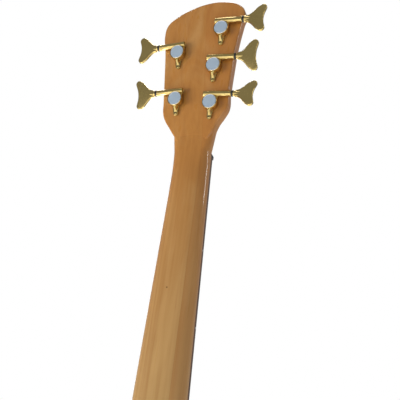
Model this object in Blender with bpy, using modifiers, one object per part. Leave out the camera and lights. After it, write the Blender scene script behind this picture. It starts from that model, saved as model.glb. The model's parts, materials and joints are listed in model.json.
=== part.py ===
"""Five-string electric bass guitar, headstock up, front facing -Y, bass side at -X.

Metres. The origin is the middle of the nut, where the neck's glue plane meets
the front plane of the headstock. Lengths below are written in millimetres
times MM.
"""

import math

import bmesh
import bpy
import numpy as np
from mathutils import Matrix, Vector

MM = 0.001
CLEAR = 0.3 * MM

# Strings, from the bass side to the treble side
STRING_NAMES = ("b", "e", "a", "d", "g")
STRING_DIAMETERS = (3.30 * MM, 2.67 * MM, 2.16 * MM, 1.65 * MM, 1.14 * MM)
SILK_SHARE = 0.78
SCALE_LENGTH = 864 * MM
NUT_SPREAD = 35 * MM
BRIDGE_SPREAD = 70 * MM
WINDING_TURNS = 2
WINDING_GAP = 0.5 * MM
WINDING_STEPS = 12
HEIGHT_OVER_FIRST_FRET = 0.5 * MM
HEIGHT_OVER_LAST_FRET = 2.3 * MM
BALL_RADIUS = 2.8 * MM
BALL_LENGTH = 4 * MM

# Neck and fingerboard
NUT_WIDTH = 45 * MM
NECK_TAPER = 0.0369
NECK_DEPTH_TAPER = 0.0054
NECK_ROUNDNESS = 0.75
FRET_COUNT = 24
BOARD_THICKNESS = 5.5 * MM
BOARD_RADIUS = 406 * MM
BOARD_PAST_LAST_FRET = 8 * MM
ARCH_STEPS = 3
FRET_WIDTH = 2.4 * MM
FRET_HEIGHT = 1.1 * MM
NUT_THICKNESS = 4.5 * MM
NUT_HEIGHT = 8.0 * MM
HEEL_DEPTH = 25 * MM
HEEL_LENGTH = 85 * MM
HEEL_RAMP = 25 * MM
HEEL_ROUNDNESS = 0.16

# Truss rod
ROD_RADIUS = 3 * MM
ROD_AXIS_DEPTH = 5 * MM
ROD_LENGTH = 590 * MM
ROD_PAST_NUT = 7 * MM
ROD_NUT_ACROSS = 5.0 * MM
POCKET_WIDTH = 12 * MM
COVER_THICKNESS = 2.5 * MM
COVER_LENGTH = 42 * MM
COVER_WIDTH = 25 * MM
COVER_START = 3 * MM

# Headstock, in its own plane: x across, s up from the nut
HEAD_ANGLE = math.radians(13)
HEAD_THICKNESS = 14.5 * MM
HEAD_EDGE = 2.2 * MM
HEAD_BLEND = 26 * MM
HEAD_TREBLE_SIDE = (
    (22.4, 8.0), (22.8, 20.0), (28.4, 31.0), (34.6, 41.0), (38.2, 51.0),
    (38.6, 66.0), (39.2, 100.0), (40.3, 138.0), (42.0, 158.0), (38.0, 173.0),
)
HEAD_TIP = (
    (26.5, 182.0), (6.0, 190.0), (-18.4, 193.8), (-40.0, 191.5), (-58.5, 182.8),
)
HEAD_BASS_SIDE = (
    (-64.2, 172.0), (-60.8, 159.5), (-54.2, 131.0), (-49.6, 101.0), (-45.8, 70.0),
    (-44.4, 52.0), (-39.2, 42.4), (-32.4, 33.0), (-27.4, 21.0), (-25.0, 8.0),
)

# Tuners: post places in the head plane, side of the head, turn of the shaft
# (degrees towards the nut) and rest turn of the key (degrees)
TUNERS = {
    "b": (-25.0, 57.2, -1, 6.0, -17.0),
    "e": (-27.8, 104.2, -1, 6.0, 14.0),
    "a": (-36.3, 151.6, -1, 6.0, -5.0),
    "d": (19.9, 128.4, 1, -1.0, -3.0),
    "g": (19.8, 66.4, 1, -1.0, 11.0),
}
FIRST_TURN_HEIGHT = {"b": 4.4 * MM, "e": 6.8 * MM, "a": 3.4 * MM, "d": 4.0 * MM, "g": 4.0 * MM}
SHAFT_OFFSET = 10 * MM
SHAFT_HEIGHT = 5 * MM
SHAFT_RADIUS = 2.0 * MM
WHEEL_TEETH = 20
WHEEL_TIP_RADIUS = 7.9 * MM
TOOTH_DEPTH = 1.0 * MM
WHEEL_THICKNESS = 2.4 * MM
WORM_TIP_RADIUS = 2.6 * MM
WORM_TURNS = 2
WORM_STEPS = 8
POST_RADIUS = 4.8 * MM
POST_WAIST_RADIUS = 3.8 * MM
POST_TOP_RADIUS = 5.4 * MM
POST_HEIGHT = 19.5 * MM
POST_SLOT_WIDTH = 2.2 * MM
POST_SLOT_DEPTH = 6.0 * MM
CASE_RADIUS = 9.3 * MM
CASE_HEIGHT = 8.1 * MM
CASE_FLOOR = 1.6 * MM
DISC_RADIUS = 8.55 * MM
DISC_THICKNESS = 1.1 * MM
DISC_TOP = 8.5 * MM
TUBE_RADIUS = 3.5 * MM
TUBE_END = 25 * MM
TUBE_INNER_END = -9.2 * MM
COLLAR_RADIUS = 3.9 * MM
EAR_REACH = 17.2 * MM
EAR_RADIUS = 2.9 * MM
EAR_ROOT = 6 * MM
EAR_ROOT_RADIUS = 4.4 * MM
EAR_THICKNESS = 2.3 * MM
EAR_HOLE_RADIUS = 1.3 * MM
WASHER_THICKNESS = 1.8 * MM
WASHER_RADIUS = 3.7 * MM
BUSHING_RADIUS = 6.7 * MM
BUSHING_DEPTH = 6.5 * MM
BUSHING_FLANGE_RADIUS = 7.4 * MM
BUSHING_FLANGE = 1.2 * MM
KEY_THICKNESS = 3.6 * MM
KEY_STEM_RADIUS = 4.0 * MM
KEY_HALF_WIDTH = 18.0 * MM
KEY_LENGTH = 26.2 * MM
KEY_LOBE_RADIUS = 4.4 * MM
KEY_HOLLOW = 2.7 * MM

# Body: outline points in millimetres seen from the front, x across and z up
# from the lower end of the neck
BODY_TOP = 7 * MM
BODY_THICKNESS = 40 * MM
BODY_EDGE = 7 * MM
BASS_CUTAWAY = ((-34, 84), (-47, 88), (-62, 104), (-76, 134), (-90, 172), (-106, 206))
BASS_HORN_TIP = (-122, 214)
BASS_SIDE = (
    (-138, 206), (-148, 180), (-150, 136), (-142, 84), (-130, 32), (-125, -14), (-132, -64),
    (-152, -118), (-170, -166), (-177, -208), (-165, -250), (-124, -278), (-62, -286),
)
TAIL = (0, -287)
TREBLE_BOUT = ((62, -286), (124, -278), (168, -248))
JACK_SIDE = (181, -202)
TREBLE_SIDE = (
    (168, -156), (148, -104), (124, -56), (115, -10), (121, 34), (133, 74), (139, 106),
    (134, 130), (120, 140), (106, 130), (94, 110), (80, 84), (64, 66), (48, 57), (34, 55),
)
POCKET_LENGTH = 110 * MM

# Hardware on the body
PICKUP_LENGTH = 112 * MM
PICKUP_WIDTH = 34 * MM
PICKUP_HEIGHT = 22 * MM
PICKUP_PROUD = 8 * MM
PICKUP_FROM_SADDLES = (148 * MM, 60 * MM)
PICKUP_CORNER = 6 * MM
BRIDGE_WIDTH = 96 * MM
BRIDGE_LENGTH = 58 * MM
BRIDGE_THICKNESS = 2.5 * MM
BRIDGE_AHEAD = 14 * MM
BRIDGE_WALL = 4 * MM
BRIDGE_WALL_HEIGHT = 15 * MM
BRIDGE_WALL_FROM_END = 8 * MM
BRIDGE_HOLE_RADIUS = 2.3 * MM
BRIDGE_HOLE_HEIGHT = 10.5 * MM
SADDLE_WIDTH = 15 * MM
SADDLE_BASE_LENGTH = 20 * MM
SADDLE_BASE_HEIGHT = 5 * MM
SADDLE_TOWER_LENGTH = 7 * MM
SADDLE_TOWER_WIDTH = 11 * MM
SADDLE_TRAVEL = 4 * MM
STRING_BREAK = 9 * MM
CONTROL_NAMES = ("volume", "blend", "tone")
CONTROL_FIRST = (86 * MM, -106 * MM)
CONTROL_LAST = (136 * MM, -196 * MM)
KNOB_RADIUS = 9.5 * MM
KNOB_HEIGHT = 16 * MM
KNOB_GAP = 1.0 * MM
POT_RADIUS = 9 * MM
POT_HEIGHT = 9 * MM
POT_SHAFT_RADIUS = 3 * MM
POT_BUSH_RADIUS = 4.2 * MM
CAVITY_RADIUS = 22 * MM
CAVITY_TOP_WOOD = 6 * MM
CAVITY_LEDGE = 6 * MM
CONTROL_COVER = 2.5 * MM
JACK_RADIUS = 5.8 * MM
JACK_BORE_RADIUS = 3.3 * MM
JACK_LENGTH = 22 * MM
JACK_SOCKET_DEPTH = 19 * MM
JACK_FLANGE_RADIUS = 9.5 * MM
JACK_FLANGE = 2 * MM
STRAP_BASE_RADIUS = 6.5 * MM
STRAP_WAIST_RADIUS = 4 * MM
STRAP_END_RADIUS = 7 * MM
STRAP_LENGTH = 13 * MM
STRAP_SEAT = 2.0 * MM
PLATE_WIDTH = 50 * MM
PLATE_LENGTH = 44 * MM
PLATE_FROM_END = 7 * MM
PLATE_THICKNESS = 1.8 * MM
PLATE_CORNER = 7 * MM

# Places that follow from the sizes above
SADDLE_Z = -NUT_THICKNESS - SCALE_LENGTH
BODY_BACK = BODY_TOP + BODY_THICKNESS
BOARD_END = -NUT_THICKNESS - SCALE_LENGTH * (1 - 2 ** (-FRET_COUNT / 12)) - BOARD_PAST_LAST_FRET
HEAD_DEPTH_AT_NUT = HEAD_THICKNESS / math.cos(HEAD_ANGLE)
LEAD = 2 * math.pi * (SHAFT_OFFSET - WORM_TIP_RADIUS + TOOTH_DEPTH / 4) / WHEEL_TEETH

HEAD_FRAME = Matrix((
    (1, 0, 0, 0),
    (0, math.sin(HEAD_ANGLE), -math.cos(HEAD_ANGLE), 0),
    (0, math.cos(HEAD_ANGLE), math.sin(HEAD_ANGLE), 0),
    (0, 0, 0, 1),
))


def clear_scene():
    for obj in list(bpy.data.objects):
        bpy.data.objects.remove(obj, do_unlink=True)


def new_collection(name, hidden=False):
    collection = bpy.data.collections.new(name)
    bpy.context.scene.collection.children.link(collection)
    collection.hide_render = hidden
    return collection


clear_scene()
PARTS = new_collection("electric_bass_guitar")
CUTTERS = new_collection("working_solids", hidden=True)


def new_material(name, colour, roughness, metallic=0.0):
    material = bpy.data.materials.new(name)
    material.use_nodes = True
    shader = material.node_tree.nodes["Principled BSDF"]
    shader.inputs["Base Color"].default_value = (*colour, 1.0)
    shader.inputs["Roughness"].default_value = roughness
    shader.inputs["Metallic"].default_value = metallic
    return material


MAPLE = new_material("amber_maple", (0.40, 0.18, 0.05), 0.25)
ROSEWOOD = new_material("dark_rosewood", (0.07, 0.035, 0.02), 0.5)
GOLD = new_material("gold_plate", (0.83, 0.60, 0.22), 0.25, 1.0)
MIRROR = new_material("polished_disc", (0.62, 0.68, 0.75), 0.1, 1.0)
STEEL = new_material("plain_steel", (0.55, 0.55, 0.55), 0.35, 1.0)
NICKEL = new_material("wound_nickel", (0.50, 0.49, 0.47), 0.4, 1.0)
BLACK = new_material("black_plastic", (0.012, 0.012, 0.012), 0.4)


def add_object(name, mesh, material=None, collection=None, frame=None):
    obj = bpy.data.objects.new(name, mesh)
    (collection or PARTS).objects.link(obj)
    if frame is not None:
        obj.matrix_world = frame
    if material is not None:
        mesh.materials.clear()
        mesh.materials.append(material)
    return obj


def mesh_from(bm):
    bmesh.ops.recalc_face_normals(bm, faces=bm.faces)
    mesh = bpy.data.meshes.new("solid")
    bm.to_mesh(mesh)
    bm.free()
    return mesh


def box(low, high):
    """A box between two corners."""
    bm = bmesh.new()
    bmesh.ops.create_cube(bm, size=1)
    low, high = Vector(low), Vector(high)
    for vertex in bm.verts:
        vertex.co = (low + high) / 2 + Vector(a * b for a, b in zip(vertex.co, high - low))
    return mesh_from(bm)


def cone(start, end, radius_start, radius_end, sides):
    """A round bar or cone between two points."""
    start, end = Vector(start), Vector(end)
    along = end - start
    bm = bmesh.new()
    bmesh.ops.create_cone(
        bm, cap_ends=True, segments=sides, radius1=radius_start, radius2=radius_end, depth=along.length
    )
    turn = along.to_track_quat("Z", "Y").to_matrix().to_4x4()
    bmesh.ops.transform(bm, matrix=Matrix.Translation((start + end) / 2) @ turn, verts=bm.verts)
    return mesh_from(bm)


def rod(start, end, radius, sides):
    return cone(start, end, radius, radius, sides)


def bore(start, end, radius, sides):
    """A cutter whose flat sides, and not its corners, lie on the radius."""
    return rod(start, end, radius / math.cos(math.pi / sides), sides)


def loft(rings):
    """A closed solid through rings of points of equal count, with a flat cap at each end."""
    bm = bmesh.new()
    rows = [[bm.verts.new(point) for point in ring] for ring in rings]
    count = len(rows[0])
    for lower, upper in zip(rows, rows[1:]):
        for i in range(count):
            j = (i + 1) % count
            bm.faces.new((lower[i], lower[j], upper[j], upper[i]))
    bm.faces.new(rows[0])
    bm.faces.new(rows[-1])
    return mesh_from(bm)


def prism(outline, low, high):
    """An outline of (x, y) points, extruded from low to high along Z."""
    return loft([[(x, y, z) for x, y in outline] for z in (low, high)])


def evaluated_mesh(obj):
    """The object's mesh with its modifiers applied, and the object removed."""
    bpy.context.view_layer.update()
    graph = bpy.context.evaluated_depsgraph_get()
    mesh = bpy.data.meshes.new_from_object(obj.evaluated_get(graph))
    bpy.data.objects.remove(obj, do_unlink=True)
    return mesh


def weld(mesh):
    bm = bmesh.new()
    bm.from_mesh(mesh)
    bmesh.ops.remove_doubles(bm, verts=bm.verts, dist=1e-6)
    bmesh.ops.recalc_face_normals(bm, faces=bm.faces)
    bm.to_mesh(mesh)
    bm.free()
    return mesh


def turned(profile, sides):
    """A solid turned about Z from (radius, z) points that run from the top to the bottom."""
    mesh = bpy.data.meshes.new("profile")
    points = [(radius, 0, z) for radius, z in profile]
    mesh.from_pydata(points, [(i, i + 1) for i in range(len(points) - 1)], [])
    obj = add_object("profile", mesh, collection=CUTTERS)
    screw = obj.modifiers.new("Screw", "SCREW")
    screw.axis = "Z"
    screw.steps = sides
    screw.render_steps = sides
    screw.use_merge_vertices = True
    screw.merge_threshold = 1e-6
    return weld(evaluated_mesh(obj))


def flat_plate(points, low, high, edge=0.0, edge_steps=0, resolution=4):
    """A smooth closed outline of (x, y) points filled from low to high, its edges rounded."""
    curve = bpy.data.curves.new("outline", "CURVE")
    curve.dimensions = "2D"
    curve.fill_mode = "BOTH"
    curve.extrude = (high - low) / 2 - edge
    curve.bevel_depth = edge
    curve.offset = -edge
    curve.bevel_resolution = edge_steps
    curve.resolution_u = resolution
    spline = curve.splines.new("BEZIER")
    spline.bezier_points.add(len(points) - 1)
    for bezier, (x, y) in zip(spline.bezier_points, points):
        bezier.co = (x, y, 0)
        bezier.handle_left_type = "AUTO"
        bezier.handle_right_type = "AUTO"
    spline.use_cyclic_u = True
    mesh = weld(evaluated_mesh(add_object("outline", curve, collection=CUTTERS)))
    mesh.transform(Matrix.Translation((0, 0, (low + high) / 2)))
    return mesh


def arc(centre, radius, start, end, steps):
    """Points on an arc, angles in degrees."""
    angles = np.radians(np.linspace(start, end, steps))
    return [(centre[0] + radius * math.cos(a), centre[1] + radius * math.sin(a)) for a in angles]


def rounded_rectangle(width, height, corner, steps=4):
    points = []
    for sx, sy, start in ((1, 1, 0), (-1, 1, 90), (-1, -1, 180), (1, -1, 270)):
        centre = (sx * (width / 2 - corner), sy * (height / 2 - corner))
        points += arc(centre, corner, start, start + 90, steps)
    return points


def combine(base, others, operation):
    """The base mesh joined with, or cut by, the other meshes in turn."""
    obj = add_object("work", base, collection=CUTTERS)
    tools = [add_object("tool", other, collection=CUTTERS) for other in others]
    for tool in tools:
        modifier = obj.modifiers.new("Boolean", "BOOLEAN")
        modifier.operation = operation
        modifier.solver = "EXACT"
        modifier.object = tool
    mesh = evaluated_mesh(obj)
    for tool in tools:
        bpy.data.objects.remove(tool, do_unlink=True)
    return mesh


def join(base, *others):
    return combine(base, others, "UNION")


def cut(base, *others):
    return combine(base, others, "DIFFERENCE")


def smooth(mesh, degrees=40):
    mesh.shade_smooth()
    mesh.set_sharp_from_angle(angle=math.radians(degrees))
    return mesh


def front_plate(points, front, back, **edges):
    """A plate whose outline is given as (x, z) from the front, between two Y values."""
    mesh = flat_plate(points, 0, back - front, **edges)
    mesh.transform(Matrix.Translation((0, back, 0)) @ Matrix.Rotation(math.radians(90), 4, "X"))
    return mesh


def front_prism(points, front, back):
    """A straight-sided plate whose outline is given as (x, z) from the front."""
    return loft([[(x, y, z) for x, z in points] for y in (front, back)])


def neck_half_width(z):
    return (NUT_WIDTH + NECK_TAPER * max(0.0, -z)) / 2


def neck_depth(z):
    """Depth of wood behind the glue plane: the neck's taper, then the bend into the head."""
    depth = HEAD_DEPTH_AT_NUT + NECK_DEPTH_TAPER * max(0.0, -z)
    if z > HEAD_BLEND:
        return depth + math.tan(HEAD_ANGLE) * z
    if z > -HEAD_BLEND:
        depth += math.tan(HEAD_ANGLE) * (z + HEAD_BLEND) ** 2 / (4 * HEAD_BLEND)
    return depth


def neck_ring(z, depth, roundness, inset=0.0):
    """A neck section: a flat glue side, and a back that goes from oval to square."""
    top = max(0.0, z * math.tan(HEAD_ANGLE)) + inset
    bass = neck_half_width(z) + 2.4 * MM * min(1.0, max(0.0, z / (12 * MM))) - inset
    treble = neck_half_width(z) - inset
    ring = []
    for angle in np.radians(np.linspace(0, 180, 13)):
        across = abs(math.cos(angle)) ** roundness * math.copysign(1, math.cos(angle))
        half = treble if across > 0 else bass
        ring.append((half * across, top + (depth - inset - top) * math.sin(angle) ** roundness, z))
    return ring


def neck_shaft():
    heel_start = BOARD_END + HEEL_LENGTH
    rings = [neck_ring(20 * MM, neck_depth(20 * MM), 0.3, inset=1.0 * MM)]
    rings.append(neck_ring(9 * MM, neck_depth(9 * MM), 0.42, inset=0.3 * MM))
    for z, roundness in ((0, 0.52), (-12 * MM, 0.62), (-28 * MM, NECK_ROUNDNESS)):
        rings.append(neck_ring(z, neck_depth(z), roundness))
    for z in np.linspace(-90 * MM, heel_start + HEEL_RAMP, 4):
        rings.append(neck_ring(z, neck_depth(z), NECK_ROUNDNESS))
    for share in (0.4, 0.75, 1.0):
        z = heel_start + HEEL_RAMP * (1 - share)
        depth = neck_depth(z) + (HEEL_DEPTH - neck_depth(z)) * share ** 2
        rings.append(neck_ring(z, depth, NECK_ROUNDNESS + (HEEL_ROUNDNESS - NECK_ROUNDNESS) * share))
    rings.append(neck_ring(BOARD_END, HEEL_DEPTH, HEEL_ROUNDNESS))
    return loft(rings)


def head_outline():
    points = [(x * MM, s * MM) for x, s in HEAD_TREBLE_SIDE + HEAD_TIP + HEAD_BASS_SIDE]
    return points


def head_plate():
    mesh = flat_plate(head_outline(), -HEAD_THICKNESS, 0, edge=HEAD_EDGE, edge_steps=0, resolution=2)
    mesh.transform(HEAD_FRAME)
    return mesh


def rod_channel():
    depth = ROD_AXIS_DEPTH + ROD_RADIUS + CLEAR
    half = ROD_RADIUS + CLEAR
    bottom = ROD_PAST_NUT - ROD_LENGTH - CLEAR
    channel = box((-half, -5 * MM, bottom), (half, depth, 5 * MM))
    pocket = box((-POCKET_WIDTH / 2, -5 * MM, 0.4 * MM), (POCKET_WIDTH / 2, depth, 60 * MM))
    return channel, pocket


def head_point(x, s, h=0.0):
    """A point from head-plane coordinates: across, up, and out of the front."""
    return HEAD_FRAME @ Vector((x, s, h))


def tuner_frame(name):
    """The frame of a tuner: X along its shaft outwards, Z out of the head's back."""
    x, s, side, turn, _ = TUNERS[name]
    turn = math.radians(turn)
    along = (head_point(side * math.cos(turn), -math.sin(turn)) - head_point(0, 0)).normalized()
    out = (head_point(0, 0, -1) - head_point(0, 0)).normalized()
    frame = Matrix((along, out.cross(along), out)).transposed().to_4x4()
    frame.translation = head_point(x * MM, s * MM, -HEAD_THICKNESS)
    return frame


def worm_side(name):
    """+1 where the shaft lies towards local +Y, which is always the tip side of the head."""
    return -TUNERS[name][2]


def post_bores():
    tools = []
    for name, (x, s, *_) in TUNERS.items():
        low, high = (head_point(x * MM, s * MM, h) for h in (-HEAD_THICKNESS - 2 * MM, 2 * MM))
        tools.append(bore(low, high, POST_RADIUS + 2 * CLEAR, 12))
        seat = head_point(x * MM, s * MM, -BUSHING_DEPTH - CLEAR)
        tools.append(bore(seat, high, BUSHING_RADIUS + CLEAR, 14))
    return tools


def neck_mesh():
    wood = join(neck_shaft(), head_plate())
    return smooth(cut(wood, *rod_channel(), *post_bores()))


def board_drop(x):
    """How far the arched fingerboard lies below its middle."""
    return BOARD_RADIUS - math.sqrt(BOARD_RADIUS**2 - x**2)


def fret_z(number):
    return -NUT_THICKNESS - SCALE_LENGTH * (1 - 2 ** (-number / 12))


def fret_mesh(number):
    """A fret that follows the arch of the fingerboard, its foot sunk in the wood."""
    z = fret_z(number)
    half = neck_half_width(z) - 0.4 * MM
    rings = []
    for x in np.linspace(-half, half, ARCH_STEPS + 1):
        crown = board_drop(x) - BOARD_THICKNESS - FRET_HEIGHT
        foot = board_drop(x) - BOARD_THICKNESS + 1 * MM
        sides = ((-0.5, foot), (-0.2, crown), (0.2, crown), (0.5, foot))
        rings.append([(x, y, z + share * FRET_WIDTH) for share, y in sides])
    return loft(rings)


def fingerboard_mesh():
    top = -NUT_THICKNESS - CLEAR
    rings = []
    for z in (top, BOARD_END):
        half = neck_half_width(z)
        ring = [(x, board_drop(x) - BOARD_THICKNESS, z) for x in np.linspace(-half, half, ARCH_STEPS + 1)]
        rings.append(ring + [(half, -CLEAR, z), (-half, -CLEAR, z)])
    return smooth(join(loft(rings), *map(fret_mesh, range(1, FRET_COUNT + 1))), 25)


def string_places():
    """For each string: its name, diameter, x at the nut and x at the bridge."""
    last = len(STRING_NAMES) - 1
    for i, (name, diameter) in enumerate(zip(STRING_NAMES, STRING_DIAMETERS)):
        share = i / last - 0.5
        yield name, diameter, NUT_SPREAD * share, BRIDGE_SPREAD * share


def string_height(x_nut, x_bridge, diameter):
    """Y of the string's middle at the nut and at the saddle."""
    rise = HEIGHT_OVER_FIRST_FRET
    last_share = 1 - 2 ** (-FRET_COUNT / 12)
    gain = (HEIGHT_OVER_LAST_FRET - HEIGHT_OVER_FIRST_FRET) / last_share
    level = BOARD_THICKNESS + FRET_HEIGHT + diameter / 2
    at_nut = -(level - board_drop(x_nut) + rise)
    at_saddle = -(level - board_drop(x_bridge) + rise + gain)
    return at_nut, at_saddle


def nut_mesh():
    solid = box(
        (-NUT_WIDTH / 2, -NUT_HEIGHT - CLEAR, -NUT_THICKNESS),
        (NUT_WIDTH / 2, -CLEAR, 0),
    )
    slots = []
    for _, diameter, x_nut, x_bridge in string_places():
        at_nut, _ = string_height(x_nut, x_bridge, diameter)
        half = diameter / 2 + CLEAR
        slots.append(box((x_nut - half, -20 * MM, -10 * MM), (x_nut + half, at_nut + half, 5 * MM)))
    return cut(solid, *slots)


def rod_mesh():
    start = ROD_PAST_NUT
    bar = rod((0, ROD_AXIS_DEPTH, start - 12 * MM), (0, ROD_AXIS_DEPTH, start - ROD_LENGTH), ROD_RADIUS, 12)
    nut = rod((0, ROD_AXIS_DEPTH, start), (0, ROD_AXIS_DEPTH, start - 13 * MM), ROD_NUT_ACROSS / 2, 6)
    return join(bar, nut)


def rod_cover_mesh():
    half = COVER_WIDTH / 2
    low, high = COVER_START, COVER_START + COVER_LENGTH
    outline = [(half, low), (half, low + 6 * MM), (half * 0.72, low + 20 * MM)]
    outline += arc((0, high - half * 0.5), half * 0.5, 20, 160, 6)
    outline += [(-half * 0.72, low + 20 * MM), (-half, low + 6 * MM), (-half, low)]
    mesh = prism(outline, CLEAR, CLEAR + COVER_THICKNESS)
    mesh.transform(HEAD_FRAME)
    return mesh


def tangent_hull(big, small_centre, small, steps=12):
    """Outline round a circle at the origin and a smaller one below it."""
    distance = -small_centre
    lean = math.degrees(math.asin((big - small) / distance))
    upper = arc((0, 0), big, -lean, 180 + lean, steps)
    lower = arc((0, small_centre), small, 180 + lean, 360 - lean, max(4, steps // 2))
    return upper + lower


def ear_outline(root, reach, tip):
    """The ear's outline: round a root circle inside the case and a smaller one at its tip."""
    return [(x, y - EAR_ROOT) for x, y in tangent_hull(root, EAR_ROOT - reach, tip, 7)]


def flip(mesh, side):
    """The solid as it is for side +1, and mirrored in Y for side -1."""
    if side < 0:
        mesh.transform(Matrix.Scale(-1, 4, (0, 1, 0)))
        mesh.flip_normals()
    return mesh


def housing_mesh(side):
    """The cast housing: a round case, an ear with a sloping flank, and the worm's tube."""
    y, z = SHAFT_OFFSET, SHAFT_HEIGHT
    ear = prism(ear_outline(EAR_ROOT_RADIUS, EAR_REACH, EAR_RADIUS), CLEAR, EAR_THICKNESS)
    foot = ear_outline(EAR_ROOT_RADIUS - 0.3 * MM, EAR_REACH - 3.6 * MM, EAR_RADIUS - 0.9 * MM)
    crown = ear_outline(EAR_ROOT_RADIUS - 1.2 * MM, CASE_RADIUS + 0.6 * MM, EAR_RADIUS - 1.9 * MM)
    flank = loft([
        [(px, py, EAR_THICKNESS - 0.4 * MM) for px, py in foot],
        [(px, py, CASE_HEIGHT - 0.7 * MM) for px, py in crown],
    ])
    case = rod((0, 0, CLEAR), (0, 0, CASE_HEIGHT), CASE_RADIUS, 20)
    inner, outer = TUBE_INNER_END, CASE_RADIUS
    bar = rod((inner, y, z), (outer, y, z), TUBE_RADIUS + 0.15 * MM, 10)
    web = box(
        (inner + 0.3 * MM, 1 * MM, CLEAR + 0.1 * MM),
        (outer - 0.3 * MM, y + 2 * MM, z + 1.2 * MM),
    )
    tube = rod((0, y, z), (TUBE_END - 0.4 * MM, y, z), TUBE_RADIUS, 10)
    collar = rod((TUBE_END - 1.4 * MM, y, z), (TUBE_END, y, z), COLLAR_RADIUS, 10)
    solid = join(case, ear, flank, web, bar, tube, collar)
    high, low = 20 * MM, -5 * MM
    chamber = bore((0, 0, CASE_FLOOR), (0, 0, high), WHEEL_TIP_RADIUS + CLEAR, 12)
    recess = bore((0, 0, DISC_TOP - DISC_THICKNESS - CLEAR), (0, 0, high), DISC_RADIUS + 0.12 * MM, 14)
    post_hole = bore((0, 0, low), (0, 0, high), POST_RADIUS + CLEAR, 12)
    worm_bore = bore((inner - 5 * MM, y, z), (6.5 * MM, y, z), WORM_TIP_RADIUS + CLEAR, 10)
    shaft_bore = bore((0, y, z), (TUBE_END + 5 * MM, y, z), SHAFT_RADIUS + CLEAR, 10)
    ear_hole = rod((0, -EAR_REACH, low), (0, -EAR_REACH, high), EAR_HOLE_RADIUS, 8)
    solid = cut(solid, chamber, recess, post_hole, worm_bore, shaft_bore, ear_hole)
    return smooth(flip(solid, side), 35)


def disc_mesh():
    top, bottom = DISC_TOP, DISC_TOP - DISC_THICKNESS
    edge = 0.35 * MM
    profile = [(0, top), (DISC_RADIUS - edge, top), (DISC_RADIUS, top - edge), (DISC_RADIUS, bottom), (0, bottom)]
    return smooth(turned(profile, 16), 60)


def key_outline():
    """The fishtail key in its own plane: X along the shaft, Y across."""
    start = TUBE_END + WASHER_THICKNESS + 2 * CLEAR
    end = start + KEY_LENGTH
    stem = KEY_STEM_RADIUS
    lobe_x = end - KEY_LOBE_RADIUS
    lobe_y = KEY_HALF_WIDTH - KEY_LOBE_RADIUS
    side = [
        (start + 2 * MM, stem - 0.4 * MM), (start + 6.5 * MM, stem + 1.4 * MM), (start + 11 * MM, stem + 5.4 * MM),
        (start + 15.5 * MM, stem + 10.4 * MM),
    ]
    lobe = arc((lobe_x, lobe_y), KEY_LOBE_RADIUS, 140, -28, 6)
    upper = side + lobe + [(end - KEY_HOLLOW * 0.8, lobe_y * 0.42)]
    middle = [(end - KEY_HOLLOW, 0.0)]
    lower = [(x, -y) for x, y in reversed(upper)]
    return upper + middle + lower


def worm_thread():
    """One helical ridge, a trapezoid carried round the shaft, with a crest at x = lead / 2 on -Y."""
    tip, root = WORM_TIP_RADIUS, WORM_TIP_RADIUS - TOOTH_DEPTH - 0.2 * MM
    ridge = ((-0.46 * MM, root), (-0.28 * MM, tip), (0.28 * MM, tip), (0.46 * MM, root))
    rings = []
    half = WORM_TURNS / 2
    for turn in np.linspace(-half, half, int(WORM_TURNS * WORM_STEPS) + 1):
        angle = 2 * math.pi * turn
        rings.append([
            (LEAD * turn + x, radius * math.cos(angle), radius * math.sin(angle)) for x, radius in ridge
        ])
    return loft(rings)


def key_mesh(name):
    """The key with its shaft and worm, about the local X axis."""
    start = TUBE_END + WASHER_THICKNESS + 2 * CLEAR
    outline = key_outline()
    plate = prism(outline, -KEY_THICKNESS / 2, KEY_THICKNESS / 2)
    stem = cone((start, 0, 0), (start + 11 * MM, 0, 0), KEY_STEM_RADIUS, 2.3 * MM, 10)
    key = join(plate, stem)
    side = worm_side(name)
    key.transform(Matrix.Rotation(math.radians(TUNERS[name][4]) * side, 4, "X"))
    root = WORM_TIP_RADIUS - TOOTH_DEPTH
    worm_half = LEAD * WORM_TURNS / 2 + 1.0 * MM
    shaft = rod((worm_half, 0, 0), (start + 2 * MM, 0, 0), SHAFT_RADIUS, 8)
    core = rod((-worm_half - 2.5 * MM, 0, 0), (worm_half + 0.5 * MM, 0, 0), root, 8)
    thread = flip(worm_thread(), side)
    return smooth(join(key, shaft, core, thread), 35)


def wheel_outline():
    pitch = 2 * math.pi / WHEEL_TEETH
    root = WHEEL_TIP_RADIUS - TOOTH_DEPTH
    points = []
    for i in range(WHEEL_TEETH):
        points += [(root, pitch * (i - 0.22)), (WHEEL_TIP_RADIUS, pitch * i), (root, pitch * (i + 0.22))]
    return [(radius * math.cos(angle), radius * math.sin(angle)) for radius, angle in points]


def post_mesh():
    """The string post with its worm wheel, about the local Z axis."""
    front = -HEAD_THICKNESS
    top = front - POST_HEIGHT
    waist_start = front - BUSHING_FLANGE - 2 * CLEAR - 0.3 * MM
    profile = [
        (0, SHAFT_HEIGHT + 1.9 * MM), (2.6 * MM, SHAFT_HEIGHT + 1.9 * MM), (2.6 * MM, SHAFT_HEIGHT),
        (POST_RADIUS, SHAFT_HEIGHT), (POST_RADIUS, waist_start), (POST_WAIST_RADIUS, waist_start - 0.5 * MM),
        (POST_WAIST_RADIUS, top + 4.4 * MM), (POST_TOP_RADIUS, top + 2.4 * MM),
        (POST_TOP_RADIUS, top + 1.0 * MM), (POST_TOP_RADIUS - 1.0 * MM, top), (0, top),
    ]
    spindle = turned(profile, 12)
    half = WHEEL_THICKNESS / 2
    wheel = prism(wheel_outline(), SHAFT_HEIGHT - half, SHAFT_HEIGHT + half)
    wide = 10 * MM
    slot = box((-wide, -POST_SLOT_WIDTH / 2, top - 5 * MM), (wide, POST_SLOT_WIDTH / 2, top + POST_SLOT_DEPTH))
    return smooth(cut(join(spindle, wheel), slot), 35)


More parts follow.
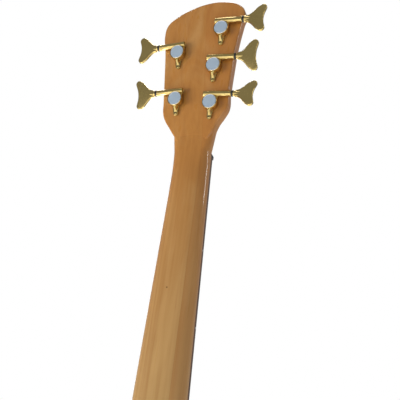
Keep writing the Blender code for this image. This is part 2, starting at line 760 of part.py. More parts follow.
def washer_mesh():
    """The black washer, about the local X axis."""
    low = TUBE_END + CLEAR
    high = low + WASHER_THICKNESS
    hole = bore((low - 1 * MM, 0, 0), (high + 1 * MM, 0, 0), SHAFT_RADIUS + CLEAR, 12)
    return smooth(cut(rod((low, 0, 0), (high, 0, 0), WASHER_RADIUS, 12), hole), 35)


def bushing_mesh():
    front = -HEAD_THICKNESS
    sleeve = rod((0, 0, front + BUSHING_DEPTH), (0, 0, front - CLEAR - 0.5 * MM), BUSHING_RADIUS, 12)
    flange = rod((0, 0, front - CLEAR), (0, 0, front - CLEAR - BUSHING_FLANGE), BUSHING_FLANGE_RADIUS, 12)
    hole = bore((0, 0, 0), (0, 0, front - 10 * MM), POST_RADIUS + CLEAR, 12)
    return cut(join(sleeve, flange), hole)


def add_tuners():
    disc = disc_mesh()
    post = post_mesh()
    washer = washer_mesh()
    bushing = bushing_mesh()
    housings = {side: housing_mesh(side) for side in (-1, 1)}
    for name in TUNERS:
        frame = tuner_frame(name)
        side = worm_side(name)
        shaft = frame @ Matrix.Translation((0, side * SHAFT_OFFSET, SHAFT_HEIGHT))
        add_object(f"tuner_{name}_housing", housings[side], GOLD, frame=frame)
        add_object(f"tuner_{name}_cover_disc", disc, MIRROR, frame=frame)
        add_object(f"tuner_{name}_post", post, GOLD, frame=frame)
        add_object(f"tuner_{name}_bushing", bushing, GOLD, frame=frame)
        add_object(f"tuner_{name}_washer", washer, BLACK, frame=shaft)
        add_object(f"tuner_{name}_key", key_mesh(name), GOLD, frame=shaft)


def winding(name, diameter, start):
    """Points of the turns round a post, in head-plane coordinates, from the tangent point on."""
    x, s, side, *_ = TUNERS[name]
    centre = Vector((x * MM, s * MM))
    radius = POST_WAIST_RADIUS + CLEAR + diameter / 2
    to_post = centre - start
    heading = math.atan2(to_post.y, to_post.x) + side * math.asin(radius / to_post.length)
    turn = -side
    first = heading - turn * math.pi / 2
    pitch = diameter + WINDING_GAP
    height = FIRST_TURN_HEIGHT[name]
    points = []
    for i in range(WINDING_TURNS * WINDING_STEPS + 1):
        share = i / WINDING_STEPS
        angle = first + turn * 2 * math.pi * share
        at = centre + radius * Vector((math.cos(angle), math.sin(angle)))
        points.append(Vector((at.x, at.y, height + pitch * share)))
    lead_out = (points[-1] - points[-2]).normalized() * diameter
    points.append(points[-1] + lead_out)
    return points


def least_gap(points, diameter, apart):
    """The least gap between stretches of a tube that lie at least some points apart."""
    spots = np.array([tuple(p) for p in points])
    least = math.inf
    for i in range(len(spots) - apart):
        distance = np.linalg.norm(spots[i + apart :] - spots[i], axis=1).min()
        least = min(least, float(distance))
    return least - diameter


def string_route(name, diameter, x_nut, x_bridge):
    """The string's points, each with its radius: ball end, bridge, saddle, nut and post."""
    at_nut, at_saddle = string_height(x_nut, x_bridge, diameter)
    wall_face = bridge_wall_back() - CLEAR
    hole = Vector((x_bridge, bridge_face() - BRIDGE_HOLE_HEIGHT, 0))
    slope = (Vector((x_nut, at_nut, -NUT_THICKNESS)) - Vector((x_bridge, at_saddle, SADDLE_Z)))
    slope /= slope.z
    break_z = SADDLE_Z - STRING_BREAK
    over_saddle = Vector((x_bridge, at_saddle, SADDLE_Z)) + slope * (break_z - SADDLE_Z)
    over_nut = Vector((x_nut, at_nut, -NUT_THICKNESS)) + slope * (NUT_THICKNESS + 0.6 * MM)
    thin = diameter * SILK_SHARE
    start = HEAD_FRAME.inverted() @ over_nut
    turns = [HEAD_FRAME @ p for p in winding(name, thin, start.xy)]
    gap = least_gap(turns, thin, WINDING_STEPS // 2)
    print(f"string {name}: least gap between turns {gap / MM:.2f} mm")
    radius = diameter / 2
    first = over_nut + (turns[0] - over_nut) * 0.12
    route = [
        (Vector((hole.x, hole.y, wall_face - BALL_LENGTH)), BALL_RADIUS),
        (Vector((hole.x, hole.y, wall_face)), BALL_RADIUS),
        (Vector((hole.x, hole.y, wall_face + 0.02 * MM)), radius),
        (Vector((hole.x, hole.y, wall_face + BRIDGE_WALL + 1.0 * MM)), radius),
        (over_saddle, radius),
        (over_nut, radius),
        (first, radius),
        (first + (turns[0] - over_nut) * 0.05, thin / 2),
    ]
    return route + [(point, thin / 2) for point in turns]


def add_strings():
    for name, diameter, x_nut, x_bridge in string_places():
        route = string_route(name, diameter, x_nut, x_bridge)
        curve = bpy.data.curves.new("string", "CURVE")
        curve.dimensions = "3D"
        curve.bevel_depth = diameter / 2
        curve.bevel_resolution = 1
        curve.use_fill_caps = True
        spline = curve.splines.new("POLY")
        spline.points.add(len(route) - 1)
        for point, (place, radius) in zip(spline.points, route):
            point.co = (*place, 1)
            point.radius = radius / (diameter / 2)
        mesh = weld(evaluated_mesh(add_object("string", curve, collection=CUTTERS)))
        add_object(f"string_{name}", smooth(mesh, 50), NICKEL)


def on_body(point):
    """A point of the body's outline, in metres from the nut."""
    return point[0] * MM, BOARD_END + point[1] * MM


def body_outline():
    points = BASS_CUTAWAY + (BASS_HORN_TIP,) + BASS_SIDE + (TAIL,) + TREBLE_BOUT + (JACK_SIDE,) + TREBLE_SIDE
    return [on_body(point) for point in points]


def body_mesh():
    edges = {"edge": BODY_EDGE, "edge_steps": 0, "resolution": 2}
    wood = front_plate(body_outline(), BODY_TOP, BODY_BACK, **edges)
    tools = [pocket_cutter(), cavity_cutter(), cover_recess()]
    for centre in pickup_centres():
        corner = PICKUP_CORNER + CLEAR
        shape = rounded_rectangle(PICKUP_LENGTH + 2 * CLEAR, PICKUP_WIDTH + 2 * CLEAR, corner)
        floor = BODY_TOP - PICKUP_PROUD + PICKUP_HEIGHT + CLEAR
        tools.append(front_prism([(x, z + centre) for x, z in shape], BODY_TOP - 5 * MM, floor))
    for x, z in control_places():
        wood_back = BODY_TOP + CAVITY_TOP_WOOD + 5 * MM
        tools.append(bore((x, BODY_TOP - 5 * MM, z), (x, wood_back, z), POT_BUSH_RADIUS + CLEAR, 12))
    x, z = on_body(JACK_SIDE)
    y = mid_thickness()
    outside = x + 10 * MM
    tools.append(bore((x - 40 * MM, y, z), (outside, y, z), JACK_RADIUS + CLEAR, 12))
    tools.append(bore((x - JACK_FLANGE - CLEAR, y, z), (outside, y, z), JACK_FLANGE_RADIUS + CLEAR, 16))
    for point, up in ((BASS_HORN_TIP, 1), (TAIL, -1)):
        x, z = on_body(point)
        seat = z - up * STRAP_SEAT
        tools.append(bore((x, y, seat), (x, y, z + up * 10 * MM), STRAP_BASE_RADIUS + CLEAR, 14))
    return smooth(cut(wood, *tools), 30)


def pocket_cutter():
    """The neck pocket, a little larger than the heel, open at the front and at the top."""
    low, high = BOARD_END - CLEAR, BOARD_END + POCKET_LENGTH
    rows = []
    for z in (low, high):
        half = neck_half_width(z) + CLEAR
        front, back = -10 * MM, HEEL_DEPTH + CLEAR
        rows.append([(-half, front, z), (half, front, z), (half, back, z), (-half, back, z)])
    return loft(rows)


def pickup_centres():
    return [SADDLE_Z + distance for distance in PICKUP_FROM_SADDLES]


def pickup_mesh(centre):
    shape = rounded_rectangle(PICKUP_LENGTH, PICKUP_WIDTH, PICKUP_CORNER)
    shape = [(x, z + centre) for x, z in shape]
    front = BODY_TOP - PICKUP_PROUD
    small = [(x * 0.985, centre + (z - centre) * 0.95) for x, z in shape]
    rows = [
        [(x, front, z) for x, z in small],
        [(x, front + 1.2 * MM, z) for x, z in shape],
        [(x, front + PICKUP_HEIGHT, z) for x, z in shape],
    ]
    return smooth(loft(rows), 30)


def control_places():
    last = len(CONTROL_NAMES) - 1
    for i in range(len(CONTROL_NAMES)):
        share = i / last
        x, z = (a + (b - a) * share for a, b in zip(CONTROL_FIRST, CONTROL_LAST))
        yield x, BOARD_END + z


def capsule(radius):
    """Outline of the control cavity: a band round the line of the controls."""
    places = list(control_places())
    first, last = Vector(places[0]), Vector(places[-1])
    heading = math.degrees(math.atan2(last.y - first.y, last.x - first.x))
    lower = arc(last, radius, heading - 90, heading + 90, 9)
    return lower + arc(first, radius, heading + 90, heading + 270, 9)


def cavity_cutter():
    return front_prism(capsule(CAVITY_RADIUS), BODY_TOP + CAVITY_TOP_WOOD, BODY_BACK + 5 * MM)


def cover_recess():
    depth = CONTROL_COVER + CLEAR
    return front_prism(capsule(CAVITY_RADIUS + CAVITY_LEDGE), BODY_BACK - depth, BODY_BACK + 5 * MM)


def control_cover_mesh():
    return front_prism(capsule(CAVITY_RADIUS + CAVITY_LEDGE - CLEAR), BODY_BACK - CONTROL_COVER, BODY_BACK)


def mid_thickness():
    return BODY_TOP + BODY_THICKNESS / 2


def jack_mesh():
    face, z = on_body(JACK_SIDE)
    seat = face - JACK_FLANGE
    y = mid_thickness()
    barrel = rod((face - JACK_LENGTH, y, z), (seat + 0.5 * MM, y, z), JACK_RADIUS, 12)
    flange = rod((seat, y, z), (face, y, z), JACK_FLANGE_RADIUS, 16)
    socket = rod((face - JACK_SOCKET_DEPTH, y, z), (face + 5 * MM, y, z), JACK_BORE_RADIUS, 12)
    return smooth(cut(join(barrel, flange), socket), 35)


def strap_button_mesh():
    """A turned button on Z, its base at z = 0."""
    profile = [
        (0, STRAP_LENGTH), (STRAP_END_RADIUS - 1.2 * MM, STRAP_LENGTH),
        (STRAP_END_RADIUS, STRAP_LENGTH - 1.2 * MM), (STRAP_END_RADIUS, STRAP_LENGTH - 2.6 * MM),
        (STRAP_WAIST_RADIUS, STRAP_LENGTH - 5.5 * MM), (STRAP_WAIST_RADIUS, 4 * MM),
        (STRAP_BASE_RADIUS, 1.6 * MM), (STRAP_BASE_RADIUS, 0), (0, 0),
    ]
    return smooth(turned(profile, 14), 35)


def add_strap_buttons():
    mesh = strap_button_mesh()
    for name, point, up in (("horn", BASS_HORN_TIP, 1), ("tail", TAIL, -1)):
        x, z = on_body(point)
        frame = Matrix.Translation((x, mid_thickness(), z - up * (STRAP_SEAT - CLEAR)))
        if up < 0:
            frame = frame @ Matrix.Rotation(math.pi, 4, "X")
        add_object(f"strap_button_{name}", mesh, GOLD, frame=frame)


def neck_plate_mesh():
    centre = BOARD_END + PLATE_FROM_END + PLATE_LENGTH / 2
    shape = [(x, z + centre) for x, z in rounded_rectangle(PLATE_WIDTH, PLATE_LENGTH, PLATE_CORNER)]
    return front_prism(shape, BODY_BACK + CLEAR, BODY_BACK + CLEAR + PLATE_THICKNESS)


def bridge_face():
    """Y of the bridge plate's front face."""
    return BODY_TOP - CLEAR - BRIDGE_THICKNESS


def bridge_bottom():
    return SADDLE_Z + BRIDGE_AHEAD - BRIDGE_LENGTH


def bridge_wall_back():
    """Z of the rear face of the bridge wall."""
    return bridge_bottom() + BRIDGE_WALL_FROM_END


def bridge_mesh():
    face, back = bridge_face(), BODY_TOP - CLEAR
    low, high = bridge_bottom(), SADDLE_Z + BRIDGE_AHEAD
    half = BRIDGE_WIDTH / 2
    plate = box((-half, face, low), (half, back, high))
    wall_low = bridge_wall_back()
    wall = box(
        (-half + 0.1 * MM, face - BRIDGE_WALL_HEIGHT, wall_low),
        (half - 0.1 * MM, face + 1 * MM, wall_low + BRIDGE_WALL),
    )
    holes = []
    for _, _, _, x_bridge in string_places():
        y = face - BRIDGE_HOLE_HEIGHT
        low_end, high_end = (x_bridge, y, wall_low - 5 * MM), (x_bridge, y, wall_low + 10 * MM)
        holes.append(bore(low_end, high_end, BRIDGE_HOLE_RADIUS, 10))
    return cut(join(plate, wall), *holes)


def saddle_mesh(diameter, x_nut, x_bridge):
    """A saddle at its place on the bridge, with a groove under the string."""
    _, at_saddle = string_height(x_nut, x_bridge, diameter)
    floor = bridge_face() - CLEAR
    half = SADDLE_WIDTH / 2
    tower_half = SADDLE_TOWER_WIDTH / 2
    ahead = SADDLE_TOWER_LENGTH / 2
    base = box(
        (x_bridge - half, floor - SADDLE_BASE_HEIGHT, SADDLE_Z + ahead - SADDLE_BASE_LENGTH),
        (x_bridge + half, floor, SADDLE_Z + ahead + 0.4 * MM),
    )
    tower = box(
        (x_bridge - tower_half, at_saddle - 0.2 * diameter, SADDLE_Z - ahead),
        (x_bridge + tower_half, floor - 1 * MM, SADDLE_Z + ahead),
    )
    groove_half = diameter / 2 + CLEAR
    groove = box(
        (x_bridge - groove_half, at_saddle - 10 * MM, SADDLE_Z - 30 * MM),
        (x_bridge + groove_half, at_saddle + groove_half, SADDLE_Z + 30 * MM),
    )
    return cut(join(base, tower), groove)


def knob_mesh():
    """A knob with its shaft, on Z pointing out of the body's front."""
    gap = KNOB_GAP
    top = gap + KNOB_HEIGHT
    wood = CAVITY_TOP_WOOD
    profile = [
        (0, top), (KNOB_RADIUS - 2.2 * MM, top), (KNOB_RADIUS - 0.8 * MM, top - 1.4 * MM),
        (KNOB_RADIUS, gap + 2 * MM), (KNOB_RADIUS, gap), (POT_SHAFT_RADIUS, gap),
        (POT_SHAFT_RADIUS, -wood + 1 * MM), (0, -wood + 1 * MM),
    ]
    return smooth(turned(profile, 16), 35)


def pot_mesh():
    """A potentiometer's case and threaded bush, on Z pointing out of the body's front."""
    wood = CAVITY_TOP_WOOD
    case = rod((0, 0, -wood - CLEAR), (0, 0, -wood - CLEAR - POT_HEIGHT), POT_RADIUS, 14)
    bush = rod((0, 0, -wood - 1 * MM), (0, 0, -CLEAR), POT_BUSH_RADIUS, 12)
    lug = box((-5 * MM, POT_RADIUS - 2 * MM, -wood - 5 * MM), (5 * MM, POT_RADIUS + 4 * MM, -wood - 4 * MM))
    hole = bore((0, 0, -wood + 1 * MM - CLEAR), (0, 0, 5 * MM), POT_SHAFT_RADIUS + CLEAR, 12)
    return smooth(cut(join(case, bush, lug), hole), 35)


def add_controls():
    knob, pot = knob_mesh(), pot_mesh()
    for name, (x, z) in zip(CONTROL_NAMES, control_places()):
        frame = Matrix.Translation((x, BODY_TOP, z)) @ Matrix.Rotation(math.radians(90), 4, "X")
        add_object(f"knob_{name}", knob, GOLD, frame=frame)
        add_object(f"potentiometer_{name}", pot, STEEL, frame=frame)


def add_bridge():
    add_object("bridge_plate", bridge_mesh(), GOLD)
    for name, diameter, x_nut, x_bridge in string_places():
        add_object(f"saddle_{name}", saddle_mesh(diameter, x_nut, x_bridge), GOLD)


def main():
    add_object("neck", neck_mesh(), MAPLE)
    add_object("fingerboard", fingerboard_mesh(), ROSEWOOD)
    add_object("nut", nut_mesh(), BLACK)
    add_object("truss_rod", rod_mesh(), STEEL)
    add_object("truss_rod_cover", rod_cover_mesh(), BLACK)
    add_tuners()
    add_strings()
    add_object("body", body_mesh(), MAPLE)
    add_object("neck_plate", neck_plate_mesh(), GOLD)
    for name, centre in zip(("neck", "bridge"), pickup_centres()):
        add_object(f"pickup_{name}", pickup_mesh(centre), BLACK)
    add_bridge()
    add_controls()
    add_object("control_cover", control_cover_mesh(), BLACK)
    add_object("jack_socket", jack_mesh(), GOLD)
    add_strap_buttons()
    bpy.context.view_layer.update()


main()
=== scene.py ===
"""Finished surfaces of a five-string electric bass guitar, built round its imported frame.

Metres. The neck runs up +Z, the front faces -Y, the bass side is at -X, and the origin is
the middle of the nut. Lengths are written in millimetres times MM.
"""

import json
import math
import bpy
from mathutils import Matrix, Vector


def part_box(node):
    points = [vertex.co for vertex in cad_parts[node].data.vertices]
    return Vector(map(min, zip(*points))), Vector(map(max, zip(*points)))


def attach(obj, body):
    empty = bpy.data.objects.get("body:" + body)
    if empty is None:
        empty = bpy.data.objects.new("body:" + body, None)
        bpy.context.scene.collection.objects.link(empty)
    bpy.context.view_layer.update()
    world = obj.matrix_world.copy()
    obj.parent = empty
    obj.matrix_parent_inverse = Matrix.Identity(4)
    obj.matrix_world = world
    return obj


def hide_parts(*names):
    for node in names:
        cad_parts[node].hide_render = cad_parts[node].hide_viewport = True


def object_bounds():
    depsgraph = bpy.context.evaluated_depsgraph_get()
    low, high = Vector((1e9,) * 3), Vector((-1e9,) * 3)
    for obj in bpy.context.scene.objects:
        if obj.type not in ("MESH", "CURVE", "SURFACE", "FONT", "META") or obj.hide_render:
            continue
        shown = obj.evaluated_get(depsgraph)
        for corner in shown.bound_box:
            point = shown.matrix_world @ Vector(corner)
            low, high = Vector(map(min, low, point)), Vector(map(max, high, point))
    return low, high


bl_info = {
    "name": "Electric bass guitar",
    "version": (1, 0, 0),
    "blender": (4, 5, 0),
    "location": "View3D > Sidebar > Bass",
    "description": "Builds the finished surfaces of a five-string bass guitar round its frame",
    "category": "Add Mesh",
}

import bmesh
import bpy
import numpy as np
from mathutils import Matrix, Vector

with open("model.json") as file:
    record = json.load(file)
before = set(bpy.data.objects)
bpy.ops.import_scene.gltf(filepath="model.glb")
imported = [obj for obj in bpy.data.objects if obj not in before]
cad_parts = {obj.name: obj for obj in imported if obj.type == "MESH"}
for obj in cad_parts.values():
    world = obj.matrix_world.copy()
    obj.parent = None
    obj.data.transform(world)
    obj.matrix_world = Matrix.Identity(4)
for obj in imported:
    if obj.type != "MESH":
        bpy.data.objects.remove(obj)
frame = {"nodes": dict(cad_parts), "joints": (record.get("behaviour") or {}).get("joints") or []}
CAD_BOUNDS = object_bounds()

MM = 0.001
CLEAR = 0.3 * MM
SMALLEST_RADIUS = 0.02 * MM
FLAT_EDGE = 0.1 * MM
SCREW_SINK = 0.1 * MM
HANDLE_SHARE = 2.5614
ROOT = "instrument"

# Strings, from the bass side to the treble side
STRINGS = {"b": 3.30 * MM, "e": 2.67 * MM, "a": 2.16 * MM, "d": 1.65 * MM, "g": 1.14 * MM}
FIRST_TURN_HEIGHT = {"b": 4.4 * MM, "e": 6.8 * MM, "a": 3.4 * MM, "d": 4.0 * MM, "g": 4.0 * MM}
SILK_SHARE = 0.78
SCALE_LENGTH = 864 * MM
NUT_SPREAD = 35 * MM
BRIDGE_SPREAD = 70 * MM
WINDING_TURNS = 2
WINDING_GAP = 0.5 * MM
HEIGHT_OVER_FIRST_FRET = 0.5 * MM
HEIGHT_OVER_LAST_FRET = 2.3 * MM
BALL_RADIUS = 2.8 * MM
BALL_LENGTH = 4 * MM
BREAK_OVER_SADDLE, BREAK_OVER_NUT = 9 * MM, 0.6 * MM
SILK_START, SILK_FULL = 0.12, 0.17

# Neck and fingerboard
NUT_WIDTH = 45 * MM
NECK_TAPER = 0.0369
NECK_DEPTH_TAPER = 0.0054
FRET_COUNT = 24
BOARD_THICKNESS = 5.5 * MM
BOARD_RADIUS = 406 * MM
FRET_WIDTH = 2.4 * MM
FRET_HEIGHT = 1.1 * MM
NUT_THICKNESS = 4.5 * MM
HEEL_DEPTH = 25 * MM
HEEL_LENGTH = 85 * MM
HEEL_RAMP = 25 * MM
SHAFT_TOP = 36 * MM
FRET_END_GAP, FRET_END_SLOPE = 0.35 * MM, 1.2 * MM
FRET_TANG_DEPTH, FRET_TANG_SHARE = 0.8 * MM, 0.4
DOT_RADIUS, DOT_DEPTH = 3 * MM, 0.5 * MM
SIDE_DOT_RADIUS, SIDE_DOT_DEPTH, SIDE_DOT_Y = 1 * MM, 0.4 * MM, -2.6 * MM
DOT_RIM_PROUD, DOT_CROWN = 0.03 * MM, 0.02 * MM
DOUBLE_DOT_OFFSET = 11 * MM
INLAY_FRETS = (3, 5, 7, 9, 12, 15, 17, 19, 21, 24)

# Headstock, in its own plane: x across, s up from the nut, in millimetres
HEAD_ANGLE = math.radians(13)
HEAD_THICKNESS = 14.5 * MM
HEAD_BLEND = 26 * MM
HEAD_OUTLINE = (
    (22.4, 8.0), (22.8, 20.0), (28.4, 31.0), (34.6, 41.0), (38.2, 51.0),
    (38.6, 66.0), (39.2, 100.0), (40.3, 138.0), (42.0, 158.0), (38.0, 173.0),
    (26.5, 182.0), (6.0, 190.0), (-18.4, 193.8), (-40.0, 191.5), (-58.5, 182.8),
    (-64.2, 172.0), (-60.8, 159.5), (-54.2, 131.0), (-49.6, 101.0), (-45.8, 70.0),
    (-44.4, 52.0), (-39.2, 42.4), (-32.4, 33.0), (-27.4, 21.0), (-25.0, 8.0),
)
SEAM = 15 * MM
KNOT = (3.1 * MM, -166 * MM)
HEAD_FOOT_TOP, HEAD_FOOT_LENGTH = 26 * MM, 18 * MM

# Tuners
KEY_TURNS = {"b": -17.0, "e": 14.0, "a": -5.0, "d": -3.0, "g": 11.0}
SHAFT_OFFSET = 10 * MM
SHAFT_HEIGHT = 5 * MM
SHAFT_RADIUS = 2 * MM
SHAFT_INNER_END = -4 * MM
EAR_REACH = 17.2 * MM
EAR_ROOT = 6 * MM
EAR_TOP = 2.3 * MM
EAR_SCREW_HEIGHT = 1 * MM
WEB_LENGTH, WEB_WIDTH, WEB_TOP, WEB_PLACE = 17.4 * MM, 9 * MM, 6 * MM, 7.6 * MM
WEB_CORNER, WEB_EDGE = 1.5 * MM, 0.8 * MM
TUBE_END = 25 * MM
WASHER_THICKNESS = 1.8 * MM
KEY_START = TUBE_END + WASHER_THICKNESS + 2 * CLEAR
KEY_LENGTH = 26.2 * MM
KEY_THICKNESS = 3.6 * MM
KEY_HALF_WIDTH = 18 * MM
KEY_LOBE_RADIUS = 4.4 * MM
KEY_HOLLOW = 2.7 * MM
KEY_STEM_RADIUS = 4 * MM
POST_WAIST_RADIUS = 3.8 * MM
POST_TOP = -HEAD_THICKNESS - 19.5 * MM
POST_SLOT_HALF_WIDTH = 1.1 * MM

# Profiles of turned pieces: (radius, height) in millimetres
CASE_PROFILE = (
    (0, 0.3), (9.0, 0.3), (9.3, 0.6), (9.3, 7.8), (9.2, 8.2), (9.0, 8.45), (8.85, 8.5), (8.7, 8.4),
    (8.68, 7.2), (0, 7.2),
)
DISC_PROFILE = ((7.75, 7.3), (7.75, 8.30), (5, 8.42), (2, 8.48), (0, 8.5))
DISC_RIM_PROFILE = (
    (7.6, 7.3), (8.55, 7.3), (8.55, 8.05), (8.35, 8.4), (8.1, 8.5), (7.9, 8.48), (7.7, 8.25),
)
TUBE_PROFILE = (
    (0, -4.2), (2.7, -4.2), (2.7, -8.9), (3.0, -9.2), (3.3, -9.2), (3.65, -8.8), (3.65, 9.4),
    (3.5, 9.8), (3.5, 23.0), (3.9, 23.7), (3.9, 24.6), (3.5, 25), (0, 25),
)
STEM_PROFILE = ((0, 0), (3.3, 0), (3.7, 0.4), (3.6, 1.6), (3.0, 3.2), (2.4, 5.2), (1.9, 7.6), (1.6, 9))
WASHER_PROFILE = ((2.0, 0), (3.5, 0), (3.7, 0.3), (3.7, 1.5), (3.5, 1.8), (2.0, 1.8))
POST_PROFILE = ((0, 3), (4.8, 3), (4.8, -16.6), (3.8, -17.1), (3.8, -28), (0, -28))
POST_HEAD_PROFILE = (
    (3.8, 6.5), (3.8, 4.6), (4.2, 3.8), (5.1, 2.6), (5.4, 2.2), (5.4, 1.0), (5.2, 0.4), (4.6, 0),
)
SLEEVE_PROFILE = (
    (4.9, 6), (6.6, 6), (6.6, -0.3), (7.4, -0.3), (7.4, -1.1), (7.1, -1.5), (5.3, -1.5), (5.1, -1.3),
)
KNOB_PROFILE = (
    (0, -3), (3, -3), (3, 1), (9.2, 1), (9.5, 1.4), (9.5, 3.0), (9.2, 3.4), (8.95, 15.2), (8.6, 16.2),
    (7.6, 16.85), (5, 17), (0, 17),
)
JACK_PROFILE = (
    (0, -19), (3.3, -19), (3.3, -0.5), (3.7, 0), (5.4, 0), (5.6, -0.3), (5.9, -0.3), (6.1, 0), (9.1, 0),
    (9.5, -0.4), (9.5, -2), (5.8, -2), (5.8, -22), (0, -22),
)
BUTTON_PROFILE = (
    (0, 0), (6.5, 0), (6.5, 1.4), (5.6, 2.4), (4.3, 3.6), (4.0, 4.6), (4.0, 7.4), (4.6, 8.4), (6.2, 9.8),
    (6.9, 10.5), (7.0, 11.3), (6.7, 12.3), (6.0, 12.9), (5.4, 13), (2.6, 13), (2.3, 12.2), (0, 12.2),
)

# The ear's levels: root radius, tip distance, tip radius and height in millimetres
EAR_LEVELS = (
    (4.1, 11.2, 2.6, 0.3), (4.4, 11.2, 2.9, 0.6), (4.4, 11.2, 2.9, 1.9), (4.2, 11.2, 2.7, 2.2),
    (4.1, 11.2, 2.6, 2.3), (4.1, 7.9, 2.2, 2.3), (4.0, 7.6, 2.0, 2.6), (3.8, 6.3, 1.6, 4.2),
    (3.5, 5.0, 1.3, 6.2), (3.2, 4.1, 1.0, 7.3), (3.0, 3.8, 0.8, 7.6),
)

# Body: outline points seen from the front, x across and z up from the lower end of the neck
BODY_TOP = 7 * MM
BODY_BACK = 47 * MM
BASS_HORN_TIP = (-122, 214)
TAIL = (0, -287)
JACK_SIDE = (181, -202)
BODY_OUTLINE = (
    (-34, 84), (-47, 88), (-62, 104), (-76, 134), (-90, 172), (-106, 206), BASS_HORN_TIP,
    (-138, 206), (-148, 180), (-150, 136), (-142, 84), (-130, 32), (-125, -14), (-132, -64),
    (-152, -118), (-170, -166), (-177, -208), (-165, -250), (-124, -278), (-62, -286), TAIL,
    (62, -286), (124, -278), (168, -248), JACK_SIDE, (168, -156), (148, -104), (124, -56),
    (115, -10), (121, 34), (133, 74), (139, 106), (134, 130), (120, 140), (106, 130),
    (94, 110), (80, 84), (64, 66), (48, 57), (34, 55),
)

# Hardware of the neck and the body
ROD_COVER_HALF_WIDTH, ROD_COVER_THICKNESS = 12.5 * MM, 2.5 * MM
ROD_COVER_FOOT, ROD_COVER_TOP = 3 * MM, 45 * MM
ROD_COVER_SCREWS = ((0, 41 * MM), (-9 * MM, 7 * MM), (9 * MM, 7 * MM))
ROD_SCREW_RADIUS, ROD_SCREW_HEIGHT = 1.8 * MM, 0.8 * MM
NECK_PLATE_CORNER, NECK_PLATE_EDGE = 7 * MM, 0.6 * MM
NECK_BOLT_INSET, NECK_BOLT_RADIUS = 8 * MM, 3.8 * MM
PICKUP_CORNER, PICKUP_EDGE, PICKUP_BACK_EDGE = 6 * MM, 2.2 * MM, 0.2 * MM
PICKUP_SCREW_INSET, PICKUP_SCREW_RADIUS = 6.5 * MM, 2.4 * MM
BRIDGE_SCREW_INSET, BRIDGE_SCREW_DROP, BRIDGE_SCREW_RADIUS = 6 * MM, 3.1 * MM, 2.3 * MM
SADDLE_SCREW_OFFSET, SADDLE_SCREW_DROP, SADDLE_SCREW_DEPTH = 5.6 * MM, 16 * MM, 4.9 * MM
SADDLE_SCREW_RADIUS, SADDLE_SCREW_HEIGHT = 1.5 * MM, 0.9 * MM
KNOB_SIDES, KNURLS, KNURL_SHARE = 144, 36, 0.988
KNOB_TOP = 17 * MM
MARK_WIDTH, MARK_LENGTH, MARK_CORNER, MARK_PLACE = 1.2 * MM, 5 * MM, 0.5 * MM, 5.2 * MM
KNURLED_ROWS = slice(6, 8)
COVER_FIRST, COVER_LAST = (86, -106), (136, -196)
COVER_RADIUS = 28 * MM - CLEAR
COVER_SUNK, COVER_PROUD, COVER_EDGE = 1.5 * MM, 0.5 * MM, 0.4 * MM
COVER_SCREW_INSET, COVER_SCREW_RADIUS = 4 * MM, 2.2 * MM
BUTTON_SINK, BUTTON_SCREW_FOOT = 1.7 * MM, 12.2 * MM
BUTTON_SCREW_RADIUS, BUTTON_SCREW_HEIGHT = 2.1 * MM, 0.6 * MM

SADDLE_Z = -NUT_THICKNESS - SCALE_LENGTH
BOARD_END = -NUT_THICKNESS - SCALE_LENGTH * (1 - 2 ** (-FRET_COUNT / 12)) - 8 * MM
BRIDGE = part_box("bridge_plate")
BRIDGE_FACE = BODY_TOP - CLEAR - 2.5 * MM
WALL_BACK = BRIDGE[0][2] + 8 * MM
WALL_THICKNESS = 4 * MM
WALL_HOLE_HEIGHT = 10.5 * MM

# Colours that stay as they are, as linear values
RIM_METAL, PLAIN_STEEL, FRET_METAL = (0.92, 0.93, 0.95), (0.55, 0.55, 0.56), (0.72, 0.71, 0.68)
BLACK_PLASTIC, PICKUP_PLASTIC = (0.012, 0.012, 0.013), (0.016, 0.016, 0.017)
DARK_STRIP, KNOT_BROWN, PORE_BROWN = (0.36, 0.125, 0.022), (0.07, 0.03, 0.012), (0.02, 0.010, 0.006)
# The first winding colour is painted shade for the grooves between a string's turns; the second is the nickel
# of its ridges.
WINDING_GROOVE_SHADE, WINDING_BRIGHT = (0.16, 0.15, 0.14), (0.62, 0.60, 0.56)
WINDING_PITCH = 0.45 * MM
PEARL_WARM, PEARL_COOL = (0.78, 0.76, 0.70), (0.62, 0.66, 0.68)
FLOOR_GREY, FLOOR_WHITE = (0.90, 0.90, 0.90), (0.95, 0.95, 0.95)
FLOOR_REACH, FLOOR_GLOW = 3.2, 0.22
ROOM_COLOUR = (0.93, 0.96, 1.0)

# The photograph's camera, with its angles in degrees
CAMERA_PLACE = (-182.42 * MM, 416.33 * MM, -260.12 * MM)
CAMERA_YAW = 21.9
CAMERA_PITCH = 23.95
CAMERA_ROLL = 7.11
CAMERA_LENS = 38.7


class BassColours(bpy.types.PropertyGroup):
    """Colours of the finishes, as linear values."""

    amber_head: bpy.props.FloatVectorProperty(
        name="Headstock amber", description="Lacquered maple at the headstock",
        subtype="COLOR", size=3, min=0, max=1, default=(0.375, 0.160, 0.034),
    )
    amber_neck: bpy.props.FloatVectorProperty(
        name="Neck amber", description="Lacquered maple lower down the neck",
        subtype="COLOR", size=3, min=0, max=1, default=(0.43, 0.262, 0.098),
    )
    gold: bpy.props.FloatVectorProperty(
        name="Gold", description="Plating of the tuners and the bridge",
        subtype="COLOR", size=3, min=0, max=1, default=(0.62, 0.46, 0.17),
    )
    # The discs' blue-grey is painted reflection: it stands for the pale sky mirrored in the polished disc,
    # over the disc's own metal.
    disc: bpy.props.FloatVectorProperty(
        name="Disc", description="Polished cover discs of the tuners",
        subtype="COLOR", size=3, min=0, max=1, default=(0.46, 0.56, 0.66),
    )
    rosewood: bpy.props.FloatVectorProperty(
        name="Rosewood", description="Dark fingerboard",
        subtype="COLOR", size=3, min=0, max=1, default=(0.085, 0.042, 0.024),
    )


